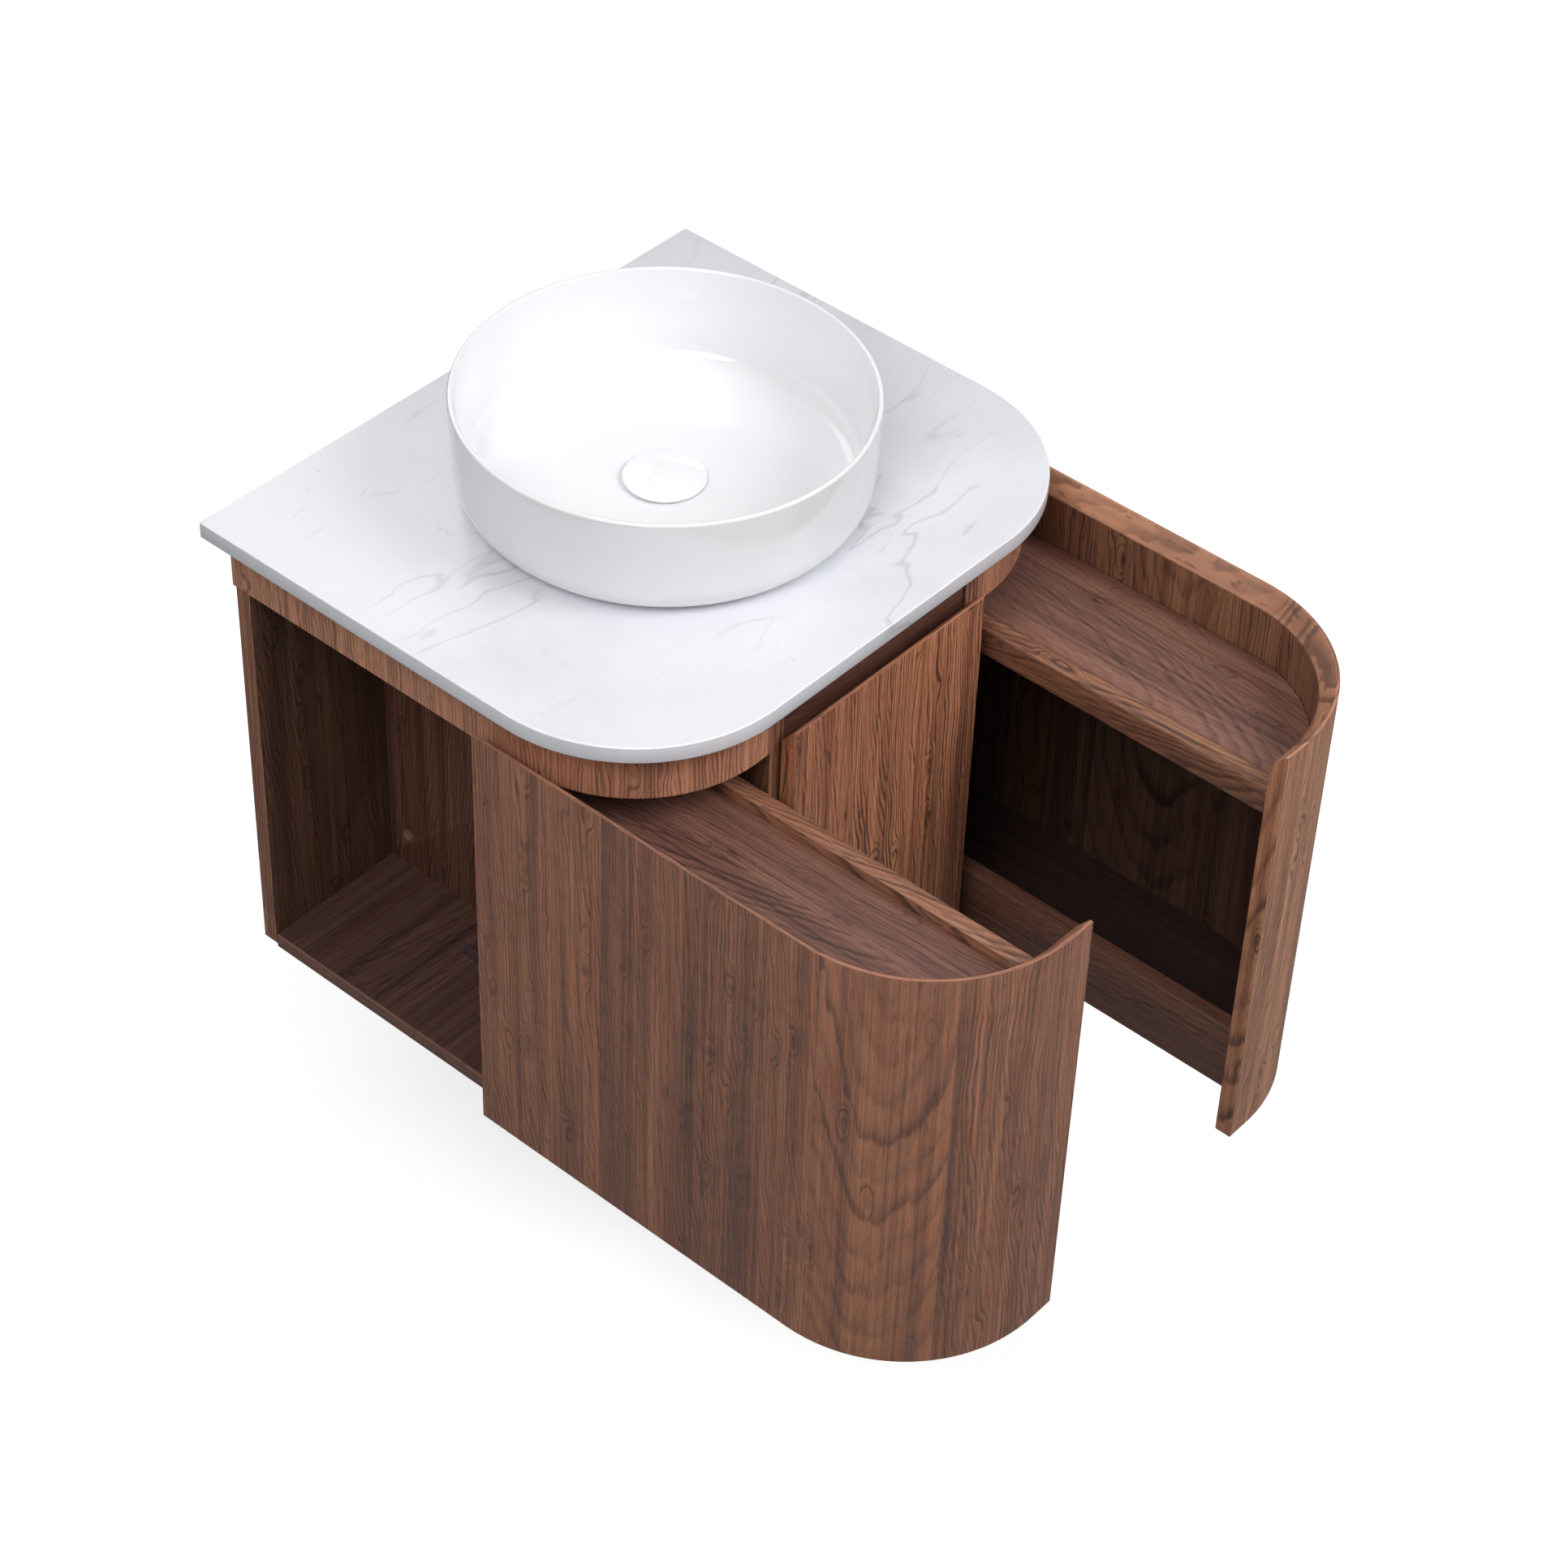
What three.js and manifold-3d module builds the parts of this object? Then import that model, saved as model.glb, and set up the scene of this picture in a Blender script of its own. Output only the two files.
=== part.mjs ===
// Wall-hung vanity with a stone top, a round vessel sink, a centre door and two side pull-outs.
// Millimetres. +Z is up, -Y is the front, X runs across the width.
// The origin is the middle of the wall rail's back face, so Y = 0 is the wall.
// Both pull-outs stand open, as they do at rest in the record.
import * as THREE from 'three';
import { mergeVertices } from 'three/addons/utils/BufferGeometryUtils.js';
import Module from 'manifold-3d';

const wasm = await Module();
wasm.setup();

// ---- driving dimensions ----
const WIDTH = 600;
const DEPTH = 506;
const STONE_TOP = 100;
const STONE_THICKNESS = 16;
const STONE_RADIUS = 152;
const JOINT_GAP = 0.3; // space left between pieces that touch
const BOARD = 16; // thickness of every veneered board

const APRON_INSET = 18.5;
const APRON_THICKNESS = 12;
const APRON_BOTTOM = 30;
const APRON_REAR = -15;

const CARCASS_INSET = 21;
const CARCASS_REAR = -16;
const CARCASS_FRONT = -487.5;
const CARCASS_BOTTOM = -387;
const PARTITION_OUTER = 132; // |x| of the face that looks into a side bay
const SERVICE_HOLE = { y: -54, z: -333, radius: 7 };
const PIPE_OPENING = { width: 180, bottom: -215, top: -95, radius: 20 };

const FRONT_FACE = -505; // outer face of the door and of the closed pull-outs
const PANEL_INSET = 1;
const PANEL_TOP = 54;
const PANEL_BOTTOM = -391;
const PANEL_RADIUS = 146;
const PANEL_REAR = -7;
const RETURN_END = 127.5; // |x| where a pull-out's front stops
const LIP = 3; // flat top of a finger-pull edge
const BEVEL_DROP = 16;
const DOOR_HALF = 120;

const TRAVEL = 308; // a pull-out's full stroke
const BOX_INNER = 142; // |x| of the pull-out's face towards the door
const BOX_REAR = -40;
const TOP_RAIL = { bottom: -30, top: -2 };
const LOW_RAIL = { bottom: -355, top: -285 };
const SHELF_TOP = -12;

const RUNNER_LENGTH = 307;
const RUNNER_REAR = -175;
const RUNNER_CENTRE = 171; // |x| of both runners, behind a pull-out's rails
const RUNNER_WIDTH = 22;
const TOP_RUNNER_DEPTH = 10;
const RUNNER_WALL = 1.5;
const RUNNER_STEP = 2; // spacing from one member to the one inside it

const BOWL = { y: -250, radius: 181, base: 147, foot: 31, height: 102, floor: 9 };
const DRAIN_HOLE = 22.5;
const CAP_RADIUS = 36;

const HINGE = { cupX: 98.5, cupRadius: 17.2, cupDepth: 12, heights: { upper: -30, lower: -310 } };

// ---- finishes ----
const finish = (color, roughness, metalness = 0) => ({ color, roughness, metalness });
const WALNUT = finish(0x7a5242, 0.55);
const DARK_BOARD = finish(0x5a3c32, 0.6);
const MARBLE = finish(0xeeeef2, 0.28);
const CERAMIC = finish(0xf8f8fa, 0.12);
const STEEL = finish(0xb9bcc0, 0.35, 1);
const CHROME = finish(0xdadde0, 0.12, 1);
const PLY = finish(0xb58c62, 0.7);
const RUBBER = finish(0x2a2a2c, 0.8);

// ---- geometry helpers ----
function box(x, y, z) {
  const geometry = new THREE.BoxGeometry(x[1] - x[0], y[1] - y[0], z[1] - z[0]);
  return geometry.translate((x[0] + x[1]) / 2, (y[0] + y[1]) / 2, (z[0] + z[1]) / 2);
}

// A plan outline in X and Y, raised between two heights.
function slab(shape, bottom, top, curveSegments = 14) {
  const geometry = new THREE.ExtrudeGeometry(shape, {
    depth: top - bottom,
    bevelEnabled: false,
    curveSegments,
  });
  return geometry.translate(0, 0, bottom);
}

// An outline in Y and Z, drawn out along X.
function alongX(outline, x0, x1) {
  const shape = new THREE.Shape(outline.map(([y, z]) => new THREE.Vector2(y, z)));
  const geometry = new THREE.ExtrudeGeometry(shape, { depth: x1 - x0, bevelEnabled: false });
  const axes = new THREE.Matrix4().makeBasis(
    new THREE.Vector3(0, 1, 0),
    new THREE.Vector3(0, 0, 1),
    new THREE.Vector3(1, 0, 0),
  );
  return geometry.applyMatrix4(axes).translate(x0, 0, 0);
}

// An outline in X and Z, drawn forward (towards -Y) from y0.
function alongY(outline, y0, length) {
  const shape = new THREE.Shape(outline.map(([x, z]) => new THREE.Vector2(x, z)));
  const geometry = new THREE.ExtrudeGeometry(shape, { depth: length, bevelEnabled: false });
  const axes = new THREE.Matrix4().makeBasis(
    new THREE.Vector3(1, 0, 0),
    new THREE.Vector3(0, 0, 1),
    new THREE.Vector3(0, -1, 0),
  );
  return geometry.applyMatrix4(axes).translate(0, y0, 0);
}

// A round bar along an axis, from its start for its length.
function rod(radius, start, length, axis, sides = 24) {
  const geometry = new THREE.CylinderGeometry(radius, radius, length, sides);
  geometry.translate(0, length / 2, 0);
  const turn = new THREE.Quaternion().setFromUnitVectors(
    new THREE.Vector3(0, 1, 0),
    new THREE.Vector3(...axis),
  );
  return geometry.applyQuaternion(turn).translate(...start);
}

// A profile of [radius, height] points turned about the vertical.
function turned(profile, sides) {
  const points = profile.map(([r, z]) => new THREE.Vector2(r, z));
  return new THREE.LatheGeometry(points, sides).rotateX(Math.PI / 2);
}

function merged(geometry) {
  const bare = geometry.clone();
  bare.deleteAttribute('normal');
  bare.deleteAttribute('uv');
  return mergeVertices(bare, 1e-4);
}

function toManifold(geometry) {
  const bare = merged(geometry);
  return new wasm.Manifold(new wasm.Mesh({
    numProp: 3,
    vertProperties: Float32Array.from(bare.attributes.position.array),
    triVerts: Uint32Array.from(bare.index.array),
  }));
}

function fromManifold(manifold) {
  const mesh = manifold.getMesh();
  const geometry = new THREE.BufferGeometry();
  geometry.setAttribute('position', new THREE.BufferAttribute(mesh.vertProperties, 3));
  geometry.setIndex(new THREE.BufferAttribute(mesh.triVerts, 1));
  return geometry;
}

function cut(geometry, ...tools) {
  let solid = toManifold(geometry);
  for (const tool of tools) {
    solid = solid.subtract(toManifold(tool));
  }
  return fromManifold(solid);
}

function joined(geometry, ...others) {
  let solid = toManifold(geometry);
  for (const other of others) {
    solid = solid.add(toManifold(other));
  }
  return fromManifold(solid);
}

// Pieces are drawn for the left side; the right side is their mirror image.
function forSide(geometry, side) {
  if (side < 0) {
    return geometry;
  }
  const mirrored = merged(geometry).scale(-1, 1, 1);
  const index = mirrored.index.array;
  for (let i = 0; i < index.length; i += 3) {
    [index[i], index[i + 1]] = [index[i + 1], index[i]];
  }
  return mirrored;
}

// The left half of an outline that follows the vanity's rounded front: straight side, quarter
// circle, straight front. Every offset keeps the same stations, so sections can be joined up.
function sideRoute(inset, front, radius, rear, end, offset, steps = 16) {
  const side = -(WIDTH / 2 - inset);
  const route = [[side + offset, rear]];
  for (let i = 0; i <= steps; i += 1) {
    const angle = Math.PI + (i / steps) * (Math.PI / 2);
    const reach = radius - offset;
    route.push([side + radius + reach * Math.cos(angle), front + radius + reach * Math.sin(angle)]);
  }
  route.push([end, front + offset]);
  return route;
}

// A section of [offset, height] points swept along that outline, closed at both ends.
function sweptSide(section, inset, front, radius, rear, end) {
  const routes = section.map(([offset]) => sideRoute(inset, front, radius, rear, end, offset));
  const stations = routes[0].length;
  const around = section.length;
  const positions = [];
  for (let s = 0; s < stations; s += 1) {
    section.forEach(([, height], k) => positions.push(...routes[k][s], height));
  }
  const triangles = [];
  for (let s = 0; s < stations - 1; s += 1) {
    for (let k = 0; k < around; k += 1) {
      const next = (k + 1) % around;
      const a = s * around + k;
      const b = s * around + next;
      triangles.push(a, a + around, b, b, a + around, b + around);
    }
  }
  const last = (stations - 1) * around;
  for (let k = 1; k < around - 1; k += 1) {
    triangles.push(0, k, k + 1);
    triangles.push(last, last + k + 1, last + k);
  }
  const geometry = new THREE.BufferGeometry();
  geometry.setAttribute('position', new THREE.Float32BufferAttribute(positions, 3));
  geometry.setIndex(triangles);
  return geometry;
}

// A left-hand plan shape whose outer edge follows the rounded front, up to where the quarter
// circle meets the inner edge.
function sidePlan(inset, front, radius, rear, inner) {
  const side = -(WIDTH / 2 - inset);
  const centre = side + radius;
  const stop = Math.PI * 2 - Math.acos((inner - centre) / radius);
  const shape = new THREE.Shape();
  shape.moveTo(side, rear);
  shape.lineTo(side, front + radius);
  shape.absarc(centre, front + radius, radius, Math.PI, stop);
  shape.lineTo(inner, rear);
  shape.closePath();
  return shape;
}

// A whole plan shape with two rounded front corners.
function fullPlan(inset, front, radius, rear) {
  const half = WIDTH / 2 - inset;
  const shape = new THREE.Shape();
  shape.moveTo(-half, rear);
  shape.lineTo(-half, front + radius);
  shape.absarc(-half + radius, front + radius, radius, Math.PI, Math.PI * 1.5);
  shape.lineTo(half - radius, front);
  shape.absarc(half - radius, front + radius, radius, Math.PI * 1.5, Math.PI * 2);
  shape.lineTo(half, rear);
  shape.closePath();
  return shape;
}

// ---- scene graph ----
const vanity = new THREE.Group();

function add(name, geometry, look, parent = vanity) {
  const material = new THREE.MeshStandardMaterial({
    color: look.color,
    roughness: look.roughness,
    metalness: look.metalness,
  });
  const mesh = new THREE.Mesh(geometry, material);
  mesh.name = name;
  parent.add(mesh);
  return mesh;
}

const STONE_UNDER = STONE_TOP - STONE_THICKNESS;
const BOARD_TOP = STONE_UNDER - JOINT_GAP;
const BAY_FLOOR = CARCASS_BOTTOM + BOARD;
const BACK_FRONT = CARCASS_REAR - BOARD;
const PARTITION_INNER = PARTITION_OUTER - BOARD;
const SHELF_BOTTOM = SHELF_TOP - BOARD;
const TOP_RUNNER_BOTTOM = SHELF_BOTTOM - TOP_RUNNER_DEPTH;

// ---- stone top and sink ----
function makeStone() {
  const shape = fullPlan(0, -DEPTH, STONE_RADIUS, 0);
  const hole = new THREE.Path().absarc(0, BOWL.y, DRAIN_HOLE, 0, Math.PI * 2, true);
  shape.holes.push(hole);
  add('stone_top', slab(shape, STONE_UNDER, STONE_TOP, 20), MARBLE);
}

function bowlProfile() {
  const profile = [[DRAIN_HOLE, 0], [BOWL.base, 0]];
  for (let i = 1; i <= 8; i += 1) {
    const angle = (i / 8) * (Math.PI / 2);
    profile.push([BOWL.base + BOWL.foot * Math.sin(angle), BOWL.foot * (1 - Math.cos(angle))]);
  }
  const rim = 2.4;
  const rimCentre = [BOWL.radius - rim, BOWL.height - rim];
  for (let i = 0; i <= 4; i += 1) {
    const angle = (i / 4) * Math.PI;
    profile.push([rimCentre[0] + rim * Math.cos(angle), rimCentre[1] + rim * Math.sin(angle)]);
  }
  const bend = 15;
  const bendCentre = [156, BOWL.floor + 7 + bend];
  for (let i = 0; i <= 5; i += 1) {
    const angle = -(i / 5) * (Math.PI / 2);
    profile.push([bendCentre[0] + bend * Math.cos(angle), bendCentre[1] + bend * Math.sin(angle)]);
  }
  profile.push([34, BOWL.floor + 0.8], [31, BOWL.floor], [DRAIN_HOLE, BOWL.floor], [DRAIN_HOLE, 0]);
  return profile;
}

function makeSink() {
  const base = STONE_TOP + JOINT_GAP;
  const place = (geometry) => geometry.translate(0, BOWL.y, base);
  add('sink_bowl', place(turned(bowlProfile(), 60)), CERAMIC);

  const flangeBottom = BOWL.floor + JOINT_GAP;
  const tube = DRAIN_HOLE - 0.5;
  const bore = 18.5;
  const bodyBottom = -85;
  const body = turned([
    [bore, bodyBottom],
    [tube, bodyBottom],
    [tube, flangeBottom],
    [30, flangeBottom],
    [30, flangeBottom + 1.8],
    [bore, flangeBottom + 0.6],
    [bore, bodyBottom],
  ], 32);
  const bridge = box([-4, 4], [-bore - 1, bore + 1], [-26, -20]);
  const stemHole = rod(4.4, [0, 0, -30], 20, [0, 0, 1], 16);
  add('drain_body', place(cut(joined(body, bridge), stemHole)), CHROME);

  const under = -STONE_THICKNESS - JOINT_GAP;
  const gasketTop = under - JOINT_GAP;
  const gasket = [[23.5, gasketTop - 4], [33, gasketTop - 4], [33, gasketTop], [23.5, gasketTop]];
  add('drain_gasket', place(turned([...gasket, gasket[0]], 32)), RUBBER);

  const nutTop = gasketTop - 4 - JOINT_GAP;
  const nut = cut(
    rod(31, [0, 0, nutTop - 11], 11, [0, 0, 1], 6),
    rod(tube + 0.4, [0, 0, nutTop - 12], 13, [0, 0, 1], 32),
  );
  add('drain_nut', place(nut), CHROME);

  const pipeOuter = 16;
  const pipeInner = 14.5;
  const pipeTop = bodyBottom - JOINT_GAP;
  const pipe = [
    [pipeInner, pipeTop - 90],
    [pipeOuter, pipeTop - 90],
    [pipeOuter, pipeTop - 4],
    [tube, pipeTop - 4],
    [tube, pipeTop],
    [pipeInner, pipeTop],
    [pipeInner, pipeTop - 90],
  ];
  add('tailpiece', place(turned(pipe, 28)), CHROME);

  const capBottom = flangeBottom + 2.4;
  const stem = { radius: 4, bottom: capBottom - 48, top: capBottom + 0.6 };
  const cap = [[0, stem.bottom], [stem.radius, stem.bottom], [stem.radius, stem.top]];
  cap.push([28, stem.top], [28, capBottom]);
  cap.push([CAP_RADIUS - 0.6, capBottom], [CAP_RADIUS, capBottom + 1.2]);
  for (let i = 1; i <= 5; i += 1) {
    const r = CAP_RADIUS * (1 - i / 5);
    cap.push([r, capBottom + 2 + 4.4 * (1 - (r / CAP_RADIUS) ** 2)]);
  }
  add('drain_cap', place(turned(cap, 40)), CERAMIC);
}

// ---- fixed cabinet ----
function makeApron(side, name) {
  const section = [
    [0, APRON_BOTTOM],
    [0, BOARD_TOP],
    [APRON_THICKNESS, BOARD_TOP],
    [APRON_THICKNESS, APRON_BOTTOM],
  ];
  const end = -(PARTITION_OUTER + JOINT_GAP);
  const radius = STONE_RADIUS - APRON_INSET;
  const band = sweptSide(section, APRON_INSET, CARCASS_FRONT, radius, APRON_REAR, end);
  add(`apron_${name}`, forSide(band, side), WALNUT);
}

function makePartition(side, name) {
  const board = box(
    [-PARTITION_OUTER, -PARTITION_INNER],
    [CARCASS_FRONT, BACK_FRONT - JOINT_GAP],
    [BAY_FLOOR + JOINT_GAP, BOARD_TOP],
  );
  const { y, z, radius } = SERVICE_HOLE;
  const hole = rod(radius, [-PARTITION_OUTER - 1, y, z], BOARD + 2, [1, 0, 0], 24);
  add(`partition_${name}`, forSide(cut(board, hole), side), WALNUT);
}

function makeBackPanel() {
  const half = WIDTH / 2 - CARCASS_INSET;
  const narrow = WIDTH / 2 - APRON_INSET - APRON_THICKNESS - JOINT_GAP;
  const step = APRON_BOTTOM - JOINT_GAP;
  const corner = 4;
  const shape = new THREE.Shape();
  shape.moveTo(-half, step);
  shape.lineTo(-half, CARCASS_BOTTOM + corner);
  shape.lineTo(-half + corner, CARCASS_BOTTOM);
  shape.lineTo(half - corner, CARCASS_BOTTOM);
  shape.lineTo(half, CARCASS_BOTTOM + corner);
  shape.lineTo(half, step);
  shape.lineTo(narrow, step);
  shape.lineTo(narrow, BOARD_TOP);
  shape.lineTo(-narrow, BOARD_TOP);
  shape.lineTo(-narrow, step);
  shape.closePath();
  const { width, bottom, top, radius } = PIPE_OPENING;
  const x = width / 2 - radius;
  const hole = new THREE.Path();
  hole.absarc(x, top - radius, radius, 0, Math.PI / 2);
  hole.absarc(-x, top - radius, radius, Math.PI / 2, Math.PI);
  hole.absarc(-x, bottom + radius, radius, Math.PI, Math.PI * 1.5);
  hole.absarc(x, bottom + radius, radius, Math.PI * 1.5, Math.PI * 2);
  hole.closePath();
  shape.holes.push(hole);
  const geometry = new THREE.ExtrudeGeometry(shape, {
    depth: BOARD,
    bevelEnabled: false,
    curveSegments: 6,
  });
  add('back_panel', geometry.rotateX(Math.PI / 2).translate(0, CARCASS_REAR, 0), WALNUT);
}

function makeBottomPanel() {
  const radius = STONE_RADIUS - CARCASS_INSET;
  const shape = fullPlan(CARCASS_INSET, CARCASS_FRONT + 0.5, radius, BACK_FRONT - JOINT_GAP);
  add('bottom_panel', slab(shape, CARCASS_BOTTOM, BAY_FLOOR), WALNUT);
}

function makeCrossRails() {
  const half = PARTITION_INNER - JOINT_GAP;
  const face = CARCASS_FRONT + 2.5;
  const rear = face + BOARD;
  const bottom = 28;
  const chamfer = 4;
  const outline = [
    [face, BOARD_TOP],
    [face, bottom + chamfer],
    [face + chamfer, bottom],
    [rear, bottom],
    [rear, BOARD_TOP],
  ];
  add('recess_rail', alongX(outline, -half, half), WALNUT);

  const depth = 70;
  const z = [BOARD_TOP - BOARD, BOARD_TOP];
  const frontStart = rear + JOINT_GAP;
  const rearStart = BACK_FRONT - JOINT_GAP;
  add('front_stretcher', box([-half, half], [frontStart, frontStart + depth], z), DARK_BOARD);
  add('rear_stretcher', box([-half, half], [rearStart - depth, rearStart], z), DARK_BOARD);
}

function makeWallFixings() {
  const depth = -(CARCASS_REAR + JOINT_GAP);
  const railTop = 25;
  const railHalf = 200;
  const rail = alongX([
    [0, -railTop],
    [0, railTop],
    [-14, railTop + 14],
    [-14, -railTop],
  ], -railHalf, railHalf);
  const holes = [-160, -80, 80, 160].map((x) => rod(4, [x, -15, 0], 16, [0, 1, 0], 16));
  add('wall_rail', cut(rail, ...holes), PLY);

  const hook = railTop + 2.5;
  const cleat = [
    [-2, 79],
    [-2, hook],
    [-depth, hook + depth - 2],
    [-depth, 79],
  ];
  add('cabinet_cleat', alongX(cleat, -railHalf, railHalf), PLY);

  for (const [name, x] of [['left', -210], ['right', 210]]) {
    add(`wall_spacer_${name}`, box([x - 20, x + 20], [-depth, 0], [-365, -325]), PLY);
  }
}

// ---- telescopic runners ----
// Three nested members. U runs across the runner and V from the cabinet side to the pull-out.
function runnerSections(depth) {
  const channel = (half, floor, top) => [
    [-half, floor],
    [half, floor],
    [half, top],
    [half - RUNNER_WALL, top],
    [half - RUNNER_WALL, floor + RUNNER_WALL],
    [-half + RUNNER_WALL, floor + RUNNER_WALL],
    [-half + RUNNER_WALL, top],
    [-half, top],
  ];
  const half = RUNNER_WIDTH / 2;
  const inner = half - 2 * RUNNER_STEP;
  return {
    outer: channel(half, JOINT_GAP, depth - 2.4),
    middle: channel(half - RUNNER_STEP, JOINT_GAP + RUNNER_STEP, depth - 1.4),
    inner: [
      [-inner, JOINT_GAP + 2 * RUNNER_STEP],
      [inner, JOINT_GAP + 2 * RUNNER_STEP],
      [inner, depth - JOINT_GAP],
      [-inner, depth - JOINT_GAP],
    ],
  };
}

// The top runner lies on a bracket under the shelf; the low runner lies on the bay floor.
const RUNNERS = {
  top: { sections: runnerSections(TOP_RUNNER_DEPTH), seat: TOP_RUNNER_BOTTOM },
  low: { sections: runnerSections(LOW_RAIL.bottom - BAY_FLOOR), seat: BAY_FLOOR },
};

function makeRunnerMember(side, name, level, member, parent) {
  const { sections, seat } = RUNNERS[level];
  const outline = sections[member].map(([u, v]) => [u - RUNNER_CENTRE, seat + v]);
  const geometry = alongY(outline, RUNNER_REAR, RUNNER_LENGTH);
  add(`${name}_${level}_runner_${member}`, forSide(geometry, side), STEEL, parent);
}

// An angle screwed to the partition that carries the top runner.
function makeRunnerBracket(side, name) {
  const face = -(PARTITION_OUTER + JOINT_GAP);
  const reach = -(RUNNER_CENTRE + RUNNER_WIDTH / 2);
  const wall = 2;
  const bottom = TOP_RUNNER_BOTTOM - 32;
  const outline = [
    [face, bottom],
    [face, TOP_RUNNER_BOTTOM],
    [reach, TOP_RUNNER_BOTTOM],
    [reach, TOP_RUNNER_BOTTOM - wall],
    [face - wall, TOP_RUNNER_BOTTOM - wall],
    [face - wall, bottom],
  ];
  add(`${name}_runner_bracket`, forSide(alongY(outline, -190, 286), side), STEEL);
}

// ---- pull-outs, drawn closed and moved forward by their group ----
function makePulloutFront(side, name, group) {
  const section = [
    [0, PANEL_BOTTOM],
    [0, PANEL_TOP],
    [LIP, PANEL_TOP],
    [BOARD, PANEL_TOP - BEVEL_DROP],
    [BOARD, PANEL_BOTTOM],
  ];
  const shell = sweptSide(section, PANEL_INSET, FRONT_FACE, PANEL_RADIUS, PANEL_REAR, -RETURN_END);
  add(`${name}_pullout_front`, forSide(shell, side), WALNUT, group);
}

function makePulloutBox(side, name, group) {
  const inset = PANEL_INSET + BOARD + JOINT_GAP;
  const front = FRONT_FACE + BOARD + JOINT_GAP;
  const radius = PANEL_RADIUS - BOARD - JOINT_GAP;
  const outer = -(WIDTH / 2 - inset);
  const railOuter = -(BOX_INNER + BOARD);
  const boardInner = railOuter - JOINT_GAP;
  const frontOfRear = BOX_REAR - BOARD - JOINT_GAP;
  const piece = (part, geometry) => {
    add(`${name}_pullout_${part}`, forSide(geometry, side), WALNUT, group);
  };
  const shelf = sidePlan(inset, front, radius, BOX_REAR, boardInner);
  piece('shelf', slab(shelf, SHELF_BOTTOM, SHELF_TOP));
  const floor = sidePlan(inset, front, radius, frontOfRear, boardInner);
  piece('floor', slab(floor, LOW_RAIL.bottom, LOW_RAIL.bottom + BOARD));
  const railX = [railOuter, -BOX_INNER];
  const railFront = front + JOINT_GAP;
  piece('top_rail', box(railX, [railFront, BOX_REAR], [TOP_RAIL.bottom, TOP_RAIL.top]));
  piece('low_rail', box(railX, [railFront, frontOfRear], [LOW_RAIL.bottom, LOW_RAIL.top]));
  const rearTop = SHELF_BOTTOM - JOINT_GAP;
  const notchX = -(RUNNER_CENTRE + RUNNER_WIDTH / 2 + 2);
  const notchBottom = TOP_RUNNER_BOTTOM - 4;
  const rear = [
    [outer, LOW_RAIL.bottom],
    [-BOX_INNER, LOW_RAIL.bottom],
    [-BOX_INNER, notchBottom],
    [notchX, notchBottom],
    [notchX, rearTop],
    [outer, rearTop],
  ];
  piece('rear', alongY(rear, BOX_REAR, BOARD));
}

function makePullout(side, name) {
  const pullout = new THREE.Group();
  pullout.position.y = -TRAVEL;
  vanity.add(pullout);
  const middle = new THREE.Group();
  middle.position.y = -TRAVEL / 2;
  vanity.add(middle);
  makePulloutFront(side, name, pullout);
  makePulloutBox(side, name, pullout);
  makeRunnerBracket(side, name);
  for (const level of Object.keys(RUNNERS)) {
    makeRunnerMember(side, name, level, 'outer', vanity);
    makeRunnerMember(side, name, level, 'middle', middle);
    makeRunnerMember(side, name, level, 'inner', pullout);
  }
}

// ---- centre door on concealed hinges ----
function makeDoor() {
  const back = FRONT_FACE + BOARD;
  const outline = [
    [FRONT_FACE, PANEL_BOTTOM],
    [back, PANEL_BOTTOM],
    [back, PANEL_TOP - BEVEL_DROP],
    [FRONT_FACE + LIP, PANEL_TOP],
    [FRONT_FACE, PANEL_TOP],
  ];
  const { cupX, cupRadius, cupDepth, heights } = HINGE;
  const pockets = Object.values(heights).map((z) => (
    rod(cupRadius + JOINT_GAP, [cupX, back + 1, z], cupDepth + 1.4, [0, -1, 0], 32)
  ));
  add('door_panel', cut(alongX(outline, -DOOR_HALF, DOOR_HALF), ...pockets), WALNUT);

  for (const [name, z] of Object.entries(heights)) {
    const rim = 0.8;
    const wall = 1;
    const cup = turned([
      [0, 0],
      [cupRadius, 0],
      [cupRadius, cupDepth + rim],
      [cupRadius - wall, cupDepth + rim],
      [cupRadius - wall, wall],
      [0, wall],
    ], 32).rotateX(-Math.PI / 2);
    add(`hinge_cup_${name}`, cup.translate(cupX, back - cupDepth, z), STEEL);
    const plateX = [PARTITION_INNER - JOINT_GAP - 3, PARTITION_INNER - JOINT_GAP];
    add(`hinge_plate_${name}`, box(plateX, [-462, -424], [z - 22, z + 22]), STEEL);
    const armX = [plateX[0] - JOINT_GAP - 10, plateX[0] - JOINT_GAP];
    add(`hinge_arm_${name}`, box(armX, [-486, -422], [z - 7.5, z + 7.5]), STEEL);
  }
}

makeStone();
makeSink();
makeBackPanel();
makeBottomPanel();
makeCrossRails();
makeWallFixings();
for (const [name, side] of [['left', -1], ['right', 1]]) {
  makeApron(side, name);
  makePartition(side, name);
  makePullout(side, name);
}
makeDoor();

export default vanity;
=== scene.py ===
import math

import bmesh
import bpy
from mathutils import Matrix, Vector


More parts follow.
